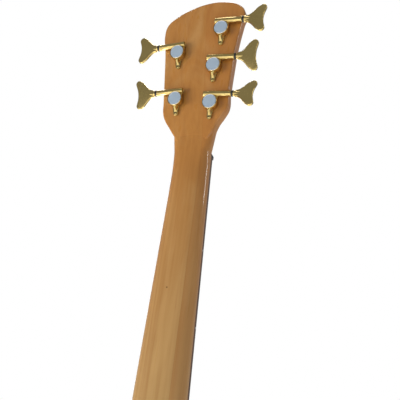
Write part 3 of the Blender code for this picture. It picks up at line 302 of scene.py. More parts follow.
class BassSizes(bpy.types.PropertyGroup):
    """Sizes of the roundings and small pieces."""

    head_edge: bpy.props.FloatProperty(
        name="Head edge", description="Radius of the headstock's edges",
        default=2.2 * MM, min=0.2 * MM, unit="LENGTH",
    )
    body_edge: bpy.props.FloatProperty(
        name="Body edge", description="Radius of the body's edges",
        default=7 * MM, min=1 * MM, unit="LENGTH",
    )
    key_edge: bpy.props.FloatProperty(
        name="Key edge", description="Radius of the keys' edges",
        default=0.9 * MM, min=0.1 * MM, unit="LENGTH",
    )
    ear_screw: bpy.props.FloatProperty(
        name="Ear screw", description="Radius of the screw heads in the tuners' ears",
        default=1.9 * MM, min=0.5 * MM, unit="LENGTH",
    )


class StageLights(bpy.types.PropertyGroup):
    """Power of the lights."""

    key_power: bpy.props.FloatProperty(
        name="Key", description="Large soft light behind the treble side",
        default=40, min=0, unit="POWER",
    )
    strip_power: bpy.props.FloatProperty(
        name="Strips", description="Narrow lights that draw lines on the plating",
        default=5, min=0, unit="POWER",
    )
    overhead: bpy.props.FloatProperty(
        name="Overhead", description="Strength of the soft light straight above", default=1.5, min=0,
    )
    front_power: bpy.props.FloatProperty(
        name="Front", description="Soft light for the front", default=34, min=0, unit="POWER",
    )
    sky: bpy.props.FloatProperty(
        name="Sky", description="Brightness of the room round the object", default=0.34, min=0,
    )


# Surfaces


def wrap_faces(rows, columns):
    """Quads between the rows of a grid whose columns go round."""
    row, column = np.meshgrid(np.arange(rows - 1), np.arange(columns), indexing="ij")
    right = (column + 1) % columns
    corners = ((row, column), (row, right), (row + 1, right), (row + 1, column))
    return np.stack([r * columns + c for r, c in corners], axis=-1).reshape(-1, 4)


def surface(name, grids, finish, replaces=None, body=ROOT, angle=40, run=None):
    """One piece from closed tubes of points: each grid is (rows, columns, 3), capped at both ends.

    Its faces are turned outwards, edges blunter than the angle are smooth, and it rides on its body.
    """
    vertices, faces, base = [], [], 0
    for grid in grids:
        rows, columns = grid.shape[:2]
        vertices.append(grid.reshape(-1, 3))
        faces += (wrap_faces(rows, columns) + base).tolist()
        faces.append((np.arange(columns) + base).tolist())
        faces.append((np.arange(columns) + base + (rows - 1) * columns).tolist())
        base += rows * columns
    mesh = bpy.data.meshes.new(name)
    mesh.from_pydata(np.concatenate(vertices).tolist(), [], faces)
    if run is not None:
        layer = mesh.attributes.new("run", "FLOAT", "POINT")
        layer.data.foreach_set("value", run.astype(np.float32))
    work = bmesh.new()
    work.from_mesh(mesh)
    bmesh.ops.recalc_face_normals(work, faces=work.faces)
    work.to_mesh(mesh)
    work.free()
    mesh.shade_smooth()
    mesh.set_sharp_from_angle(angle=math.radians(angle))
    mesh.materials.append(FINISHES[finish])
    piece = bpy.data.objects.new(name, mesh)
    bpy.context.scene.collection.objects.link(piece)
    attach(piece, body)
    if replaces:
        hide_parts(replaces)
    return piece


def placed(points, matrix):
    """Points carried by a 4 by 4 matrix."""
    matrix = np.array(matrix)
    return points @ matrix[:3, :3].T + matrix[:3, 3]


def turned(profile, sides=64):
    """A profile of (radius, height) points turned about Z: x = r cos a, y = r sin a."""
    profile = np.array(profile, float)
    angle = np.linspace(0, 2 * math.pi, sides, endpoint=False)
    radius = np.maximum(profile[:, :1], SMALLEST_RADIUS)
    height = np.broadcast_to(profile[:, 1:], (len(profile), sides))
    return np.stack((radius * np.cos(angle), radius * np.sin(angle), height), axis=-1)


def lathe(profile, matrix, start=0.0, sides=64):
    """A profile in millimetres, its heights counted from start, turned and then placed."""
    return placed(turned(np.array(profile, float) * MM + (0, start), sides), matrix)


def round_loop(points, steps):
    """A closed cubic curve through the points; each tangent is the sum of the two unit chords.

    A handle is the chord's length over HANDLE_SHARE, and a point on the curve is
    (1-t)^3 p0 + 3 (1-t)^2 t h0 + 3 (1-t) t^2 h1 + t^3 p1.
    """
    points = np.array(points, float)
    before, after = np.roll(points, 1, 0), np.roll(points, -1, 0)
    length_in = np.linalg.norm(points - before, axis=1, keepdims=True)
    length_out = np.linalg.norm(after - points, axis=1, keepdims=True)
    tangent = (points - before) / length_in + (after - points) / length_out
    tangent /= np.linalg.norm(tangent, axis=1, keepdims=True) * HANDLE_SHARE
    start, start_handle = points, points + tangent * length_out
    end, end_handle = after, after - np.roll(tangent, -1, 0) * np.roll(length_in, -1, 0)
    t = np.linspace(0, 1, steps, endpoint=False)[None, :, None]
    curve = (1 - t) ** 3 * start[:, None] + 3 * (1 - t) ** 2 * t * start_handle[:, None]
    curve = curve + 3 * (1 - t) * t**2 * end_handle[:, None] + t**3 * end[:, None]
    return curve.reshape(-1, 2)


def inset(loop, distance):
    """The loop moved inwards along its normals."""
    along = np.roll(loop, -1, 0) - np.roll(loop, 1, 0)
    along /= np.linalg.norm(along, axis=1, keepdims=True)
    area = np.sum(loop[:, 0] * np.roll(loop[:, 1], -1) - np.roll(loop[:, 0], -1) * loop[:, 1])
    inward = np.stack((-along[:, 1], along[:, 0]), axis=1) * math.copysign(1, area)
    return loop + inward * distance


def slab(loop, low, high, edge, steps=5, low_edge=None):
    """A plate with rounded edges: the loop inset by e(1 - cos a) while it rises by e sin a."""
    low_edge = edge if low_edge is None else low_edge
    quarter = np.linspace(0, math.pi / 2, steps)
    levels = [(low_edge, angle, low + low_edge * (1 - math.sin(angle))) for angle in quarter[::-1]]
    levels += [(edge, angle, high - edge * (1 - math.sin(angle))) for angle in quarter]
    rings = []
    for radius, angle, height in levels:
        ring = inset(loop, radius * (1 - math.cos(angle)))
        rings.append(np.column_stack((ring, np.full(len(ring), height))))
    return np.array(rings)


def rounded_rectangle(width, height, corner, steps=8):
    """Four quarter circles joined by straight sides."""
    quarter = np.radians(np.linspace(0, 90, steps))
    corners = []
    for i, (sx, sy) in enumerate(((1, 1), (-1, 1), (-1, -1), (1, -1))):
        angle = quarter + i * math.pi / 2
        centre = np.array((sx * (width / 2 - corner), sy * (height / 2 - corner)))
        corners.append(centre + corner * np.column_stack((np.cos(angle), np.sin(angle))))
    return np.concatenate(corners)


def hull(big, centre, small, steps=40):
    """Outline round a circle at the origin and a smaller one below it, with their tangents."""
    lean = math.asin(min(0.999, (big - small) / centre))
    upper = np.linspace(-lean, math.pi + lean, steps)
    lower = np.linspace(math.pi + lean, 2 * math.pi - lean, steps // 2)
    top = big * np.column_stack((np.cos(upper), np.sin(upper)))
    bottom = small * np.column_stack((np.cos(lower), np.sin(lower))) - (0, centre)
    return np.concatenate((top, bottom))


def sweep(path, radii, sides=16):
    """A tube along a path: circles square to the path, their frames carried without twist."""
    path = np.array(path, float)
    tangent = np.gradient(path, axis=0)
    tangent /= np.linalg.norm(tangent, axis=1, keepdims=True)
    side = np.cross(tangent[0], (0.0, 1.0, 0.0))
    side /= np.linalg.norm(side)
    sideways = []
    for direction in tangent:
        side = side - direction * np.dot(side, direction)
        side /= np.linalg.norm(side)
        sideways.append(side)
    sideways = np.array(sideways)
    up = np.cross(tangent, sideways)
    angle = np.linspace(0, 2 * math.pi, sides, endpoint=False)[None, :, None]
    ring = np.cos(angle) * sideways[:, None] + np.sin(angle) * up[:, None]
    return path[:, None] + np.array(radii)[:, None, None] * ring


FRONT_UP = Matrix.Rotation(math.radians(90), 4, "X")
ALONG_X = Matrix.Rotation(math.radians(90), 4, "Y")
HEAD_FRAME = Matrix((
    (1, 0, 0, 0),
    (0, math.sin(HEAD_ANGLE), -math.cos(HEAD_ANGLE), 0),
    (0, math.cos(HEAD_ANGLE), math.sin(HEAD_ANGLE), 0),
    (0, 0, 0, 1),
))


# Finishes


def set_inputs(tree, node, **inputs):
    """Sets or links a node's inputs, given by name, or by place as in0, in1."""
    for key, value in inputs.items():
        by_place = key[:2] == "in" and key[2:].isdigit()
        socket = node.inputs[int(key[2:]) if by_place else key.replace("_", " ")]
        if isinstance(value, bpy.types.NodeSocket):
            tree.links.new(value, socket)
        else:
            socket.default_value = value


def add_node(tree, kind, settings=None, **inputs):
    """A node with its settings and its inputs."""
    node = tree.nodes.new("ShaderNode" + kind)
    for key, value in (settings or {}).items():
        setattr(node, key, value)
    set_inputs(tree, node, **inputs)
    return node


def opaque(colour):
    """A colour with full cover."""
    return (*colour, 1.0)


def shade(colour, *shares):
    """A colour with its three parts scaled, each at most full."""
    return tuple(min(1.0, part * share) for part, share in zip(colour, shares))


class Finish:
    """A material built up from values of its nodes, and colours laid over one another."""

    def __init__(self, name, colour):
        self.material = bpy.data.materials.new(name)
        self.material.use_nodes = True
        self.tree = self.material.node_tree
        self.colour = opaque(colour)
        self.place = self.node("TexCoord").outputs["Object"]

    def node(self, kind, settings=None, **inputs):
        """A node of this material."""
        return add_node(self.tree, kind, settings, **inputs)

    def math(self, operation, *values):
        """The result of one sum on values or sockets."""
        inputs = {f"in{i}": value for i, value in enumerate(values)}
        return self.node("Math", {"operation": operation}, **inputs).outputs[0]

    def ramp(self, value, low, high, to_low=0.0, to_high=1.0):
        """A value taken from one range to another, held at both ends."""
        return self.node("MapRange", in0=value, in1=low, in2=high, in3=to_low, in4=to_high).outputs[0]

    def noise(self, x, y, z, detail, distortion=0.0):
        """Noise at the place on the piece, with its own scale along each axis."""
        place = self.node("Mapping", Vector=self.place, Scale=(x, y, z)).outputs[0]
        node = self.node("TexNoise", Vector=place, Scale=1.0, Detail=detail, Distortion=distortion)
        return node.outputs[0]

    def lay(self, colour, share):
        """Lays a colour over what is there, by a share between 0 and 1."""
        mix = self.node("Mix", {"data_type": "RGBA"}, in0=share, in6=self.colour, in7=opaque(colour))
        self.colour = mix.outputs[2]

    def done(self, relief=None, **inputs):
        """The material, its shader's inputs set and its relief made from (height, strength, distance)."""
        if relief:
            bump = self.node("Bump", Height=relief[0], Strength=relief[1], Distance=relief[2])
            inputs["Normal"] = bump.outputs[0]
        set_inputs(self.tree, self.tree.nodes["Principled BSDF"], Base_Color=self.colour, **inputs)
        return self.material


def lacquered_maple(name, strips):
    """Amber gloss lacquer over maple: long grain, soft figure, pores and, on the neck, three strips."""
    colours = bpy.context.scene.bass_colours
    dark, bright = shade(colours.amber_head, 0.66, 0.58, 0.50), shade(colours.amber_neck, 1.22, 1.22, 1.22)
    maple = Finish(name, colours.amber_neck)
    x, _, z = maple.node("SeparateXYZ", Vector=maple.place).outputs
    maple.lay(colours.amber_head, maple.ramp(z, -300 * MM, -20 * MM))
    grain = maple.noise(170, 170, 4, 6, 0.4)
    maple.lay(dark, maple.ramp(grain, 0.44, 0.74, 0, 0.42))
    figure = maple.noise(22, 22, 9, 3, 1.2)
    maple.lay(bright, maple.ramp(figure, 0.48, 0.72, 0, 0.30))
    pores = maple.noise(900, 900, 26, 3)
    maple.lay(dark, maple.ramp(pores, 0.60, 0.72, 0, 0.22))
    if strips:
        maple.lay(DARK_STRIP, maple.ramp(x, -SEAM - 0.05 * MM, -SEAM + 0.05 * MM, 0.24, 0))
        on_seam = maple.math("COMPARE", maple.math("ABSOLUTE", x), SEAM, 0.16 * MM)
        maple.lay(dark, maple.math("MULTIPLY", on_seam, 0.45))
        offsets = [maple.math("SUBTRACT", axis, middle) for axis, middle in zip((x, z), KNOT)]
        squares = [maple.math("MULTIPLY", offset, offset) for offset in offsets]
        distance = maple.math("SQRT", maple.math("ADD", *squares))
        maple.lay(KNOT_BROWN, maple.ramp(distance, 0.5 * MM, 1.1 * MM, 0.85, 0))
    rough = maple.ramp(grain, 0.3, 0.7, 0.26, 0.36)
    lacquer = {"Coat_Weight": 0.7, "Coat_Roughness": 0.07, "Specular_IOR_Level": 0.15}
    return maple.done((pores, 0.05, 0.2 * MM), Roughness=rough, **lacquer)


def plated(name, colour, roughness, tarnish=0.18, metallic=1.0):
    """Polished plating: a metal whose colour and roughness drift, with faint polishing marks."""
    metal = Finish(name, colour)
    drift = metal.noise(60, 60, 60, 4)
    metal.lay(shade(colour, 0.70, 0.66, 0.60), metal.ramp(drift, 0.45, 0.75, 0, tarnish * 2))
    rough = metal.ramp(drift, 0.3, 0.7, roughness * 0.8, roughness * 1.35)
    marks = metal.noise(2600, 2600, 300, 2)
    return metal.done((marks, 0.04, 0.05 * MM), Roughness=rough, Metallic=metallic)


def dark_plastic(name, colour, roughness, grit):
    """Satin plastic: near black with a fine moulded grit."""
    plastic = Finish(name, colour)
    cloud = plastic.noise(45, 45, 45, 3)
    plastic.lay(shade(colour, 1.7, 1.7, 1.7), plastic.ramp(cloud, 0.4, 0.7))
    rough = plastic.ramp(cloud, 0.3, 0.7, roughness * 0.85, roughness * 1.2)
    return plastic.done((plastic.noise(2400, 2400, 2400, 2), grit, 0.05 * MM), Roughness=rough)


def oiled_rosewood(name):
    """Dark brown streaks along the board with open pores."""
    colour = bpy.context.scene.bass_colours.rosewood
    wood = Finish(name, colour)
    streaks = wood.noise(240, 240, 6, 6, 0.6)
    wood.lay(shade(colour, 2.3, 2.3, 2.3), wood.ramp(streaks, 0.45, 0.72))
    pores = wood.noise(1500, 1500, 60, 2)
    wood.lay(PORE_BROWN, wood.ramp(pores, 0.60, 0.68, 0, 0.7))
    return wood.done((pores, 0.25, 0.1 * MM), Roughness=wood.ramp(streaks, 0.3, 0.7, 0.42, 0.58))


def wound_string(name):
    """Round-wound nickel: ridges across the string, a sine of the distance run along it, with painted shade
    in the grooves between the ridges.
    """
    nickel = Finish(name, WINDING_GROOVE_SHADE)
    run = nickel.node("Attribute", {"attribute_name": "run"}).outputs["Fac"]
    ridges = nickel.math("SINE", nickel.math("MULTIPLY", run, 2 * math.pi / WINDING_PITCH))
    # Painted shade: the base colour shows only in the grooves, and the nickel colour is laid over the ridges.
    nickel.lay(WINDING_BRIGHT, nickel.ramp(ridges, -1, 0.2))
    return nickel.done((ridges, 0.6, 0.1 * MM), Metallic=1, Roughness=0.30)


def pearl(name):
    """Pale pearl dots with a slow colour drift."""
    shell = Finish(name, PEARL_WARM)
    shell.lay(PEARL_COOL, shell.ramp(shell.noise(260, 260, 260, 3, 2), 0.35, 0.65))
    return shell.done(Roughness=0.2)


FINISHES = {}


def make_finishes():
    """Every finish of the bass, under its short name, made once."""
    if FINISHES:
        return
    colours = bpy.context.scene.bass_colours
    FINISHES["neck"] = lacquered_maple("lacquered_neck_maple", True)
    FINISHES["body"] = lacquered_maple("lacquered_body_maple", False)
    FINISHES["gold"] = plated("gold_plating", tuple(colours.gold), 0.17)
    # The disc is half metal and half diffuse, so its blue-grey base colour paints in the reflection of the
    # sky.
    FINISHES["disc"] = plated("polished_disc_painted_reflection", tuple(colours.disc), 0.12, tarnish=0.06, metallic=0.5)
    FINISHES["rim"] = plated("polished_disc_rim", RIM_METAL, 0.10, tarnish=0.04)
    FINISHES["steel"] = plated("plain_steel", PLAIN_STEEL, 0.30)
    FINISHES["fret"] = plated("fret_wire", FRET_METAL, 0.22, tarnish=0.1)
    FINISHES["black"] = dark_plastic("satin_black_plastic", BLACK_PLASTIC, 0.34, 0.08)
    FINISHES["pickup"] = dark_plastic("pickup_cover_plastic", PICKUP_PLASTIC, 0.28, 0.04)
    FINISHES["board"] = oiled_rosewood("oiled_dark_fingerboard")
    FINISHES["string"] = wound_string("wound_nickel_string")
    FINISHES["pearl"] = pearl("pearl_dot")


def dress(node, finish):
    """Gives a carried CAD node its finish."""
    obj = frame["nodes"][node]
    obj.data.materials.clear()
    obj.data.materials.append(FINISHES[finish])


# Neck


def half_width(z):
    """Half the neck's width: it grows evenly down from the nut."""
    return (NUT_WIDTH + NECK_TAPER * np.maximum(0.0, -z)) / 2


def neck_depth(z):
    """Wood behind the glue plane: the taper, then a parabola that bends into the head."""
    depth = HEAD_THICKNESS / math.cos(HEAD_ANGLE) + NECK_DEPTH_TAPER * np.maximum(0.0, -z)
    bend = math.tan(HEAD_ANGLE) * (z + HEAD_BLEND) ** 2 / (4 * HEAD_BLEND)
    straight = math.tan(HEAD_ANGLE) * z
    return depth + np.where(z > HEAD_BLEND, straight, np.where(z > -HEAD_BLEND, bend, 0.0))


def head_half_width(s, side):
    """How far the head's outline lies from the middle line, at heights s up the head."""
    loop = round_loop(np.array(HEAD_OUTLINE) * MM, 10)
    part = loop[(loop[:, 0] * side > 20 * MM) & (loop[:, 1] > 20 * MM) & (loop[:, 1] < 60 * MM)]
    part = part[np.argsort(part[:, 1])]
    heights = np.concatenate(([0], part[:, 1]))
    return np.interp(s, heights, np.concatenate(([NUT_WIDTH / 2], np.abs(part[:, 0]))))


def neck_shaft():
    """Rows of super-ellipse sections: x = w cos(a)^r, y = d sin(a)^r, with r from oval to square."""
    heel = BOARD_END + HEEL_LENGTH
    ramp_top = heel + HEEL_RAMP
    z = np.concatenate((
        np.linspace(SHAFT_TOP, -28 * MM, 54), np.linspace(-30 * MM, ramp_top, 90),
        np.linspace(ramp_top, heel, 26)[1:], np.linspace(heel, BOARD_END, 12)[1:],
    ))
    shapes = np.array((
        (BOARD_END, 0.16), (heel, 0.16), (heel + 0.25 * HEEL_RAMP, 0.31), (heel + 0.6 * HEEL_RAMP, 0.51),
        (ramp_top, 0.75), (-28 * MM, 0.75), (-12 * MM, 0.62), (0, 0.50), (9 * MM, 0.38), (20 * MM, 0.26),
        (SHAFT_TOP, 0.2),
    ))
    roundness = np.interp(z, shapes[:, 0], shapes[:, 1])[:, None]
    ramp_share = np.clip((ramp_top - z) / HEEL_RAMP, 0, 1)
    depth = neck_depth(z) + (HEEL_DEPTH - neck_depth(z)) * ramp_share**2
    sunk = np.interp(z, (0, 9 * MM, 20 * MM, SHAFT_TOP), (0, 0.1 * MM, 0.3 * MM, 1.2 * MM))
    top = (np.maximum(0, z * math.tan(HEAD_ANGLE)) + sunk)[:, None]
    angle = np.linspace(0, math.pi, 65)[None, :]
    across = np.sign(np.cos(angle)) * np.abs(np.cos(angle)) ** roundness
    y = top + ((depth - sunk)[:, None] - top) * np.abs(np.sin(angle)) ** roundness
    up_head = y * math.sin(HEAD_ANGLE) + z[:, None] * math.cos(HEAD_ANGLE)
    treble = np.maximum(half_width(z)[:, None], head_half_width(up_head, 1)) - sunk[:, None]
    bass = np.maximum(half_width(z)[:, None], head_half_width(up_head, -1)) - sunk[:, None]
    x = np.where(across > 0, treble, bass) * across
    return np.stack((x, y, np.broadcast_to(z[:, None], x.shape)), axis=-1)


def neck_wood():
    """The shaft, and the head as a plate whose foot narrows inside the shaft's top."""
    edge = bpy.context.scene.bass_sizes.head_edge
    loop = round_loop(np.array(HEAD_OUTLINE) * MM, 10)
    loop[:, 0] *= 1 - 0.5 * np.clip((HEAD_FOOT_TOP - loop[:, 1]) / HEAD_FOOT_LENGTH, 0, 1) ** 2
    head = placed(slab(loop, -HEAD_THICKNESS, 0, edge, 7), HEAD_FRAME)
    surface("neck_wood", [neck_shaft(), head], "neck", "neck", angle=50)


def board_drop(x):
    """How far the arched fingerboard lies below its middle."""
    return BOARD_RADIUS - np.sqrt(BOARD_RADIUS**2 - x**2)


def fret_z(number):
    """Each fret shortens the string by the twelfth root of two."""
    return -NUT_THICKNESS - SCALE_LENGTH * (1 - 2 ** (-number / 12))


def board_wood():
    """The board's arch, y = drop(x) - thickness, closed by its flat glue side."""
    share = np.linspace(-1, 1, 33)
    rows = []
    for place in (-NUT_THICKNESS - CLEAR, BOARD_END):
        x = share * half_width(place)
        y = np.concatenate((board_drop(x) - BOARD_THICKNESS, np.full(len(x), -CLEAR)))
        rows.append(np.column_stack((np.concatenate((x, x[::-1])), y, np.full(len(y), place))))
    surface("fingerboard_wood", [np.array(rows)], "board", "fingerboard")


def fret_wire(number):
    """A half round over a short tang, carried along the board's arch and lower at its ends."""
    place = fret_z(number)
    x = np.linspace(-1, 1, 25) * (half_width(place) - FRET_END_GAP)
    ring = np.radians(np.linspace(180, 0, 11))
    across = np.concatenate((np.cos(ring), (FRET_TANG_SHARE, -FRET_TANG_SHARE))) * FRET_WIDTH / 2
    rise = np.concatenate((np.sin(ring) * FRET_HEIGHT, (-FRET_TANG_DEPTH, -FRET_TANG_DEPTH)))
    end = np.clip((half_width(place) - np.abs(x)) / FRET_END_SLOPE, 0.25, 1)[:, None]
    y = (board_drop(x) - BOARD_THICKNESS)[:, None] - rise * end
    return np.stack((np.broadcast_to(x[:, None], y.shape), y, np.broadcast_to(place + across, y.shape)), -1)


def dot_surface(radius, depth, sides):
    """A round dot with a low crown."""
    return turned([(radius, 0), (radius, depth), (0, depth + DOT_CROWN)], sides)


def fret_dots(number):
    """The dots below a fret: one or two on the board's face and one on its bass side."""
    middle = (fret_z(number) + fret_z(number - 1)) / 2
    dots = []
    for x in ((-DOUBLE_DOT_OFFSET, DOUBLE_DOT_OFFSET) if number % 12 == 0 else (0.0,)):
        foot = board_drop(x) - BOARD_THICKNESS + DOT_DEPTH - DOT_RIM_PROUD
        matrix = Matrix.Translation((x, foot, middle)) @ FRONT_UP
        dots.append(placed(dot_surface(DOT_RADIUS, DOT_DEPTH, 32), matrix))
    foot = SIDE_DOT_DEPTH - DOT_RIM_PROUD - half_width(middle)
    matrix = Matrix.Translation((foot, SIDE_DOT_Y, middle)) @ ALONG_X.inverted()
    dots.append(placed(dot_surface(SIDE_DOT_RADIUS, SIDE_DOT_DEPTH, 20), matrix))
    return dots


def fingerboard():
    """The board with its frets and dots."""
    board_wood()
    wires = [fret_wire(number) for number in range(1, FRET_COUNT + 1)]
    surface("frets", wires, "fret", angle=50)
    dots = [dot for number in INLAY_FRETS for dot in fret_dots(number)]
    surface("position_dots", dots, "pearl")


# Tuners


def tuner_frame(name):
    """The tuner's frame from its joints: X along the shaft, Z out of the head's back."""
    joints = {joint["name"]: joint for joint in frame["joints"]}
    key, post = joints[f"key_{name}_turn"], joints[f"post_{name}_turn"]
    along, out = Vector(key["axis"]).normalized(), Vector(post["axis"]).normalized()
    across = out.cross(along)
    matrix = Matrix((along, across, out)).transposed().to_4x4()
    matrix.translation = Vector(post["pos_m"])
    side = math.copysign(1, (Vector(key["pos_m"]) - Vector(post["pos_m"])).dot(across))
    return matrix, side


def ear_surface():
    """The ear as a stack of outlines, each round a root and a tip circle, from foot to flank."""
    rows = []
    for big, centre, small, height in EAR_LEVELS:
        outline = hull(big * MM, centre * MM, small * MM) - (0, EAR_ROOT)
        rows.append(np.column_stack((outline, np.full(len(outline), height * MM))))
    return np.array(rows)


def key_outline():
    """The fishtail key: a stem that opens in two curves to round lobes with a hollow between them."""
    end = KEY_START + KEY_LENGTH
    lobe_x, lobe_y = end - KEY_LOBE_RADIUS, KEY_HALF_WIDTH - KEY_LOBE_RADIUS
    flare = ((2, -0.4), (6.5, 1.4), (11, 5.4), (15.5, 10.4))
    upper = [(KEY_START + a * MM, KEY_STEM_RADIUS + b * MM) for a, b in flare]
    for angle in np.radians(np.linspace(140, -28, 6)):
        upper.append((lobe_x + KEY_LOBE_RADIUS * math.cos(angle), lobe_y + KEY_LOBE_RADIUS * math.sin(angle)))
    upper.append((end - KEY_HOLLOW * 0.8, lobe_y * 0.42))
    lower = [(x, -y) for x, y in reversed(upper)]
    return upper + [(end - KEY_HOLLOW, 0.0)] + lower


def key_surfaces(matrix):
    """The key's plate, its tapered stem and its shaft."""
    half, edge = KEY_THICKNESS / 2, bpy.context.scene.bass_sizes.key_edge
    plate = slab(round_loop(key_outline(), 8)[::-1], -half, half, edge, 6)
    low, high = SHAFT_INNER_END, KEY_START + 1 * MM
    shaft = turned(((0, low), (SHAFT_RADIUS, low), (SHAFT_RADIUS, high), (0, high)), 24)
    along = matrix @ ALONG_X
    return [placed(plate, matrix), lathe(STEM_PROFILE, along, KEY_START), placed(shaft, along)]


def screw_head(radius, height, matrix):
    """A screw's domed head: a short cylinder under a quarter ellipse."""
    dome = [(radius, 0), (radius, height * 0.35)]
    for angle in np.radians(np.linspace(15, 88, 8)):
        dome.append((radius * math.cos(angle), height * (0.35 + 0.65 * math.sin(angle))))
    return placed(turned(dome, 36), matrix)


def cross_slot_shade(radius, height, matrix):
    """The cross slot of a screw as painted shade: two thin black bars let into its head."""
    bars = []
    for long_side, short_side in ((radius * 0.55, radius * 0.12), (radius * 0.12, radius * 0.55)):
        bar = rounded_rectangle(2 * long_side, 2 * short_side, radius * 0.06, 3)
        bars.append(placed(slab(bar, height * 0.80, height * 1.02, SMALLEST_RADIUS, 2), matrix))
    return bars


def post_surfaces(matrix):
    """The post: a turned waist, and a head split by the string slot into two D shapes."""
    parts = [lathe(POST_PROFILE, matrix)]
    for sign in (1, -1):
        rows = []
        for radius, height in np.array(POST_HEAD_PROFILE) * MM:
            start = math.asin(POST_SLOT_HALF_WIDTH / radius)
            angle = np.linspace(start, math.pi - start, 33)
            outline = np.column_stack((np.cos(angle), sign * np.sin(angle))) * radius
            rows.append(np.column_stack((outline, np.full(33, POST_TOP + height))))
        parts.append(placed(np.array(rows), matrix))
    return parts


def tuner_housing(prefix, matrix, flip, shaft):
    """Case, ear, tube and web in one casting, and the screw in its ear."""
    web = rounded_rectangle(WEB_LENGTH, WEB_WIDTH, WEB_CORNER)
    web = slab(web, CLEAR + 0.1 * MM, WEB_TOP, WEB_EDGE)
    casting = [
        lathe(CASE_PROFILE, matrix, sides=80), placed(ear_surface(), flip),
        lathe(TUBE_PROFILE, shaft @ ALONG_X), placed(web, flip @ Matrix.Translation((0, WEB_PLACE, 0))),
    ]
    surface(prefix + "case", casting, "gold", prefix + "housing", angle=30)
    ear = flip @ Matrix.Translation((0, -EAR_REACH, EAR_TOP - SCREW_SINK))
    radius = bpy.context.scene.bass_sizes.ear_screw
    head, slot_shades = screw_head(radius, EAR_SCREW_HEIGHT, ear), cross_slot_shade(radius, EAR_SCREW_HEIGHT, ear)
    surface(prefix + "ear_screw", [head], "gold")
    # Black bars of painted shade stand for the shaded cross slot of the ear screw.
    surface(prefix + "ear_screw_slot_shade", slot_shades, "black")


def tuner(name):
    """One tuner: its housing, disc, rim, key, washer, post and sleeve."""
    matrix, side = tuner_frame(name)
    flip = matrix @ Matrix.Scale(side, 4, (0, 1, 0))
    shaft = matrix @ Matrix.Translation((0, side * SHAFT_OFFSET, SHAFT_HEIGHT))
    prefix = f"tuner_{name}_"
    tuner_housing(prefix, matrix, flip, shaft)
    face, rim = (lathe(profile, matrix, sides=80) for profile in (DISC_PROFILE, DISC_RIM_PROFILE))
    disc = surface(prefix + "disc_face", [face], "disc", prefix + "cover_disc", angle=30)
    surface(prefix + "disc_rim", [rim], "rim")
    turn = Matrix.Rotation(math.radians(KEY_TURNS[name]) * side, 4, "X")
    key, post = "key_" + name, "post_" + name
    surface(prefix + "fishtail", key_surfaces(shaft @ turn), "gold", prefix + "key", key, 35)
    washer = lathe(WASHER_PROFILE, shaft @ ALONG_X, TUBE_END + CLEAR)
    surface(prefix + "ring", [washer], "black", prefix + "washer", key, 35)
    surface(prefix + "string_post", post_surfaces(matrix), "gold", prefix + "post", post, 35)
    sleeve = lathe(SLEEVE_PROFILE, matrix, -HEAD_THICKNESS)
    surface(prefix + "collar", [sleeve], "gold", prefix + "bushing", angle=35)


# Strings


def string_route(name, index):
    """The string's route and radii: ball, bridge wall, saddle, nut, and turns about the post."""
    diameter = STRINGS[name]
    share = index / (len(STRINGS) - 1) - 0.5
    x_nut, x_bridge = NUT_SPREAD * share, BRIDGE_SPREAD * share
    gain = (HEIGHT_OVER_LAST_FRET - HEIGHT_OVER_FIRST_FRET) / (1 - 2 ** (-FRET_COUNT / 12))
    level = BOARD_THICKNESS + FRET_HEIGHT + diameter / 2 + HEIGHT_OVER_FIRST_FRET
    at_nut = np.array((x_nut, board_drop(x_nut) - level, -NUT_THICKNESS))
    at_saddle = np.array((x_bridge, board_drop(x_bridge) - level - gain, SADDLE_Z))
    slope = (at_nut - at_saddle) / SCALE_LENGTH
    over_saddle = at_saddle - slope * BREAK_OVER_SADDLE
    over_nut = at_nut + slope * (NUT_THICKNESS + BREAK_OVER_NUT)
    straight = over_saddle + (over_nut - over_saddle) * np.linspace(0, 1, 60)[:, None]
    thick, thin = diameter / 2, diameter * SILK_SHARE / 2
    full, blunt = BALL_RADIUS, 0.8 * BALL_RADIUS
    ball = [
        (-BALL_LENGTH, blunt), (-0.9 * BALL_LENGTH, full), (-0.1 * BALL_LENGTH, full), (0, blunt),
        (0.02 * MM, thick), (WALL_THICKNESS + 1 * MM, thick),
    ]
    hole_y = BRIDGE_FACE - WALL_HOLE_HEIGHT
    end = [(x_bridge, hole_y, WALL_BACK - CLEAR + rise) for rise, _ in ball]
    turns = placed(winding(name, 2 * thin, over_nut), HEAD_FRAME)
    to_post = turns[0] - over_nut
    silk = [over_nut + to_post * SILK_START, over_nut + to_post * SILK_FULL]
    path = np.vstack((end, straight, silk, turns))
    radii = [radius for _, radius in ball] + [thick] * (len(straight) + 1) + [thin] * (len(turns) + 1)
    return path, radii


def winding(name, diameter, over_nut):
    """Turns about the post from the tangent point: a circle that rises by one pitch a turn."""
    matrix, side = tuner_frame(name)
    inverse = HEAD_FRAME.inverted()
    centre = np.array((inverse @ matrix.translation)[:2])
    start = np.array((inverse @ Vector(over_nut))[:2])
    radius = POST_WAIST_RADIUS + CLEAR + diameter / 2
    to_post = centre - start
    heading = math.atan2(to_post[1], to_post[0]) - side * math.asin(radius / np.linalg.norm(to_post))
    share = np.linspace(0, WINDING_TURNS, WINDING_TURNS * 40 + 1)
    angle = heading - side * math.pi / 2 + side * 2 * math.pi * share
    height = FIRST_TURN_HEIGHT[name] + (diameter + WINDING_GAP) * share
    points = np.column_stack((radius * np.cos(angle), radius * np.sin(angle), height)) + (*centre, 0)
    out = points[-1] - points[-2]
    return np.vstack((points, points[-1] + out / np.linalg.norm(out) * diameter))


def strings():
    """Each string with the distance run along it, for its ridges."""
    for index, name in enumerate(STRINGS):
        path, radii = string_route(name, index)
        tube = sweep(path, radii)
        run = np.concatenate(([0], np.cumsum(np.linalg.norm(np.diff(path, axis=0), axis=1))))
        run = np.repeat(run, tube.shape[1])
        surface(f"string_{name}_wound", [tube], "string", f"string_{name}", angle=60, run=run)


# Body and its hardware


def on_body(point):
    """A point of the body's outline as (x, z) in metres."""
    return np.array((point[0] * MM, BOARD_END + point[1] * MM))


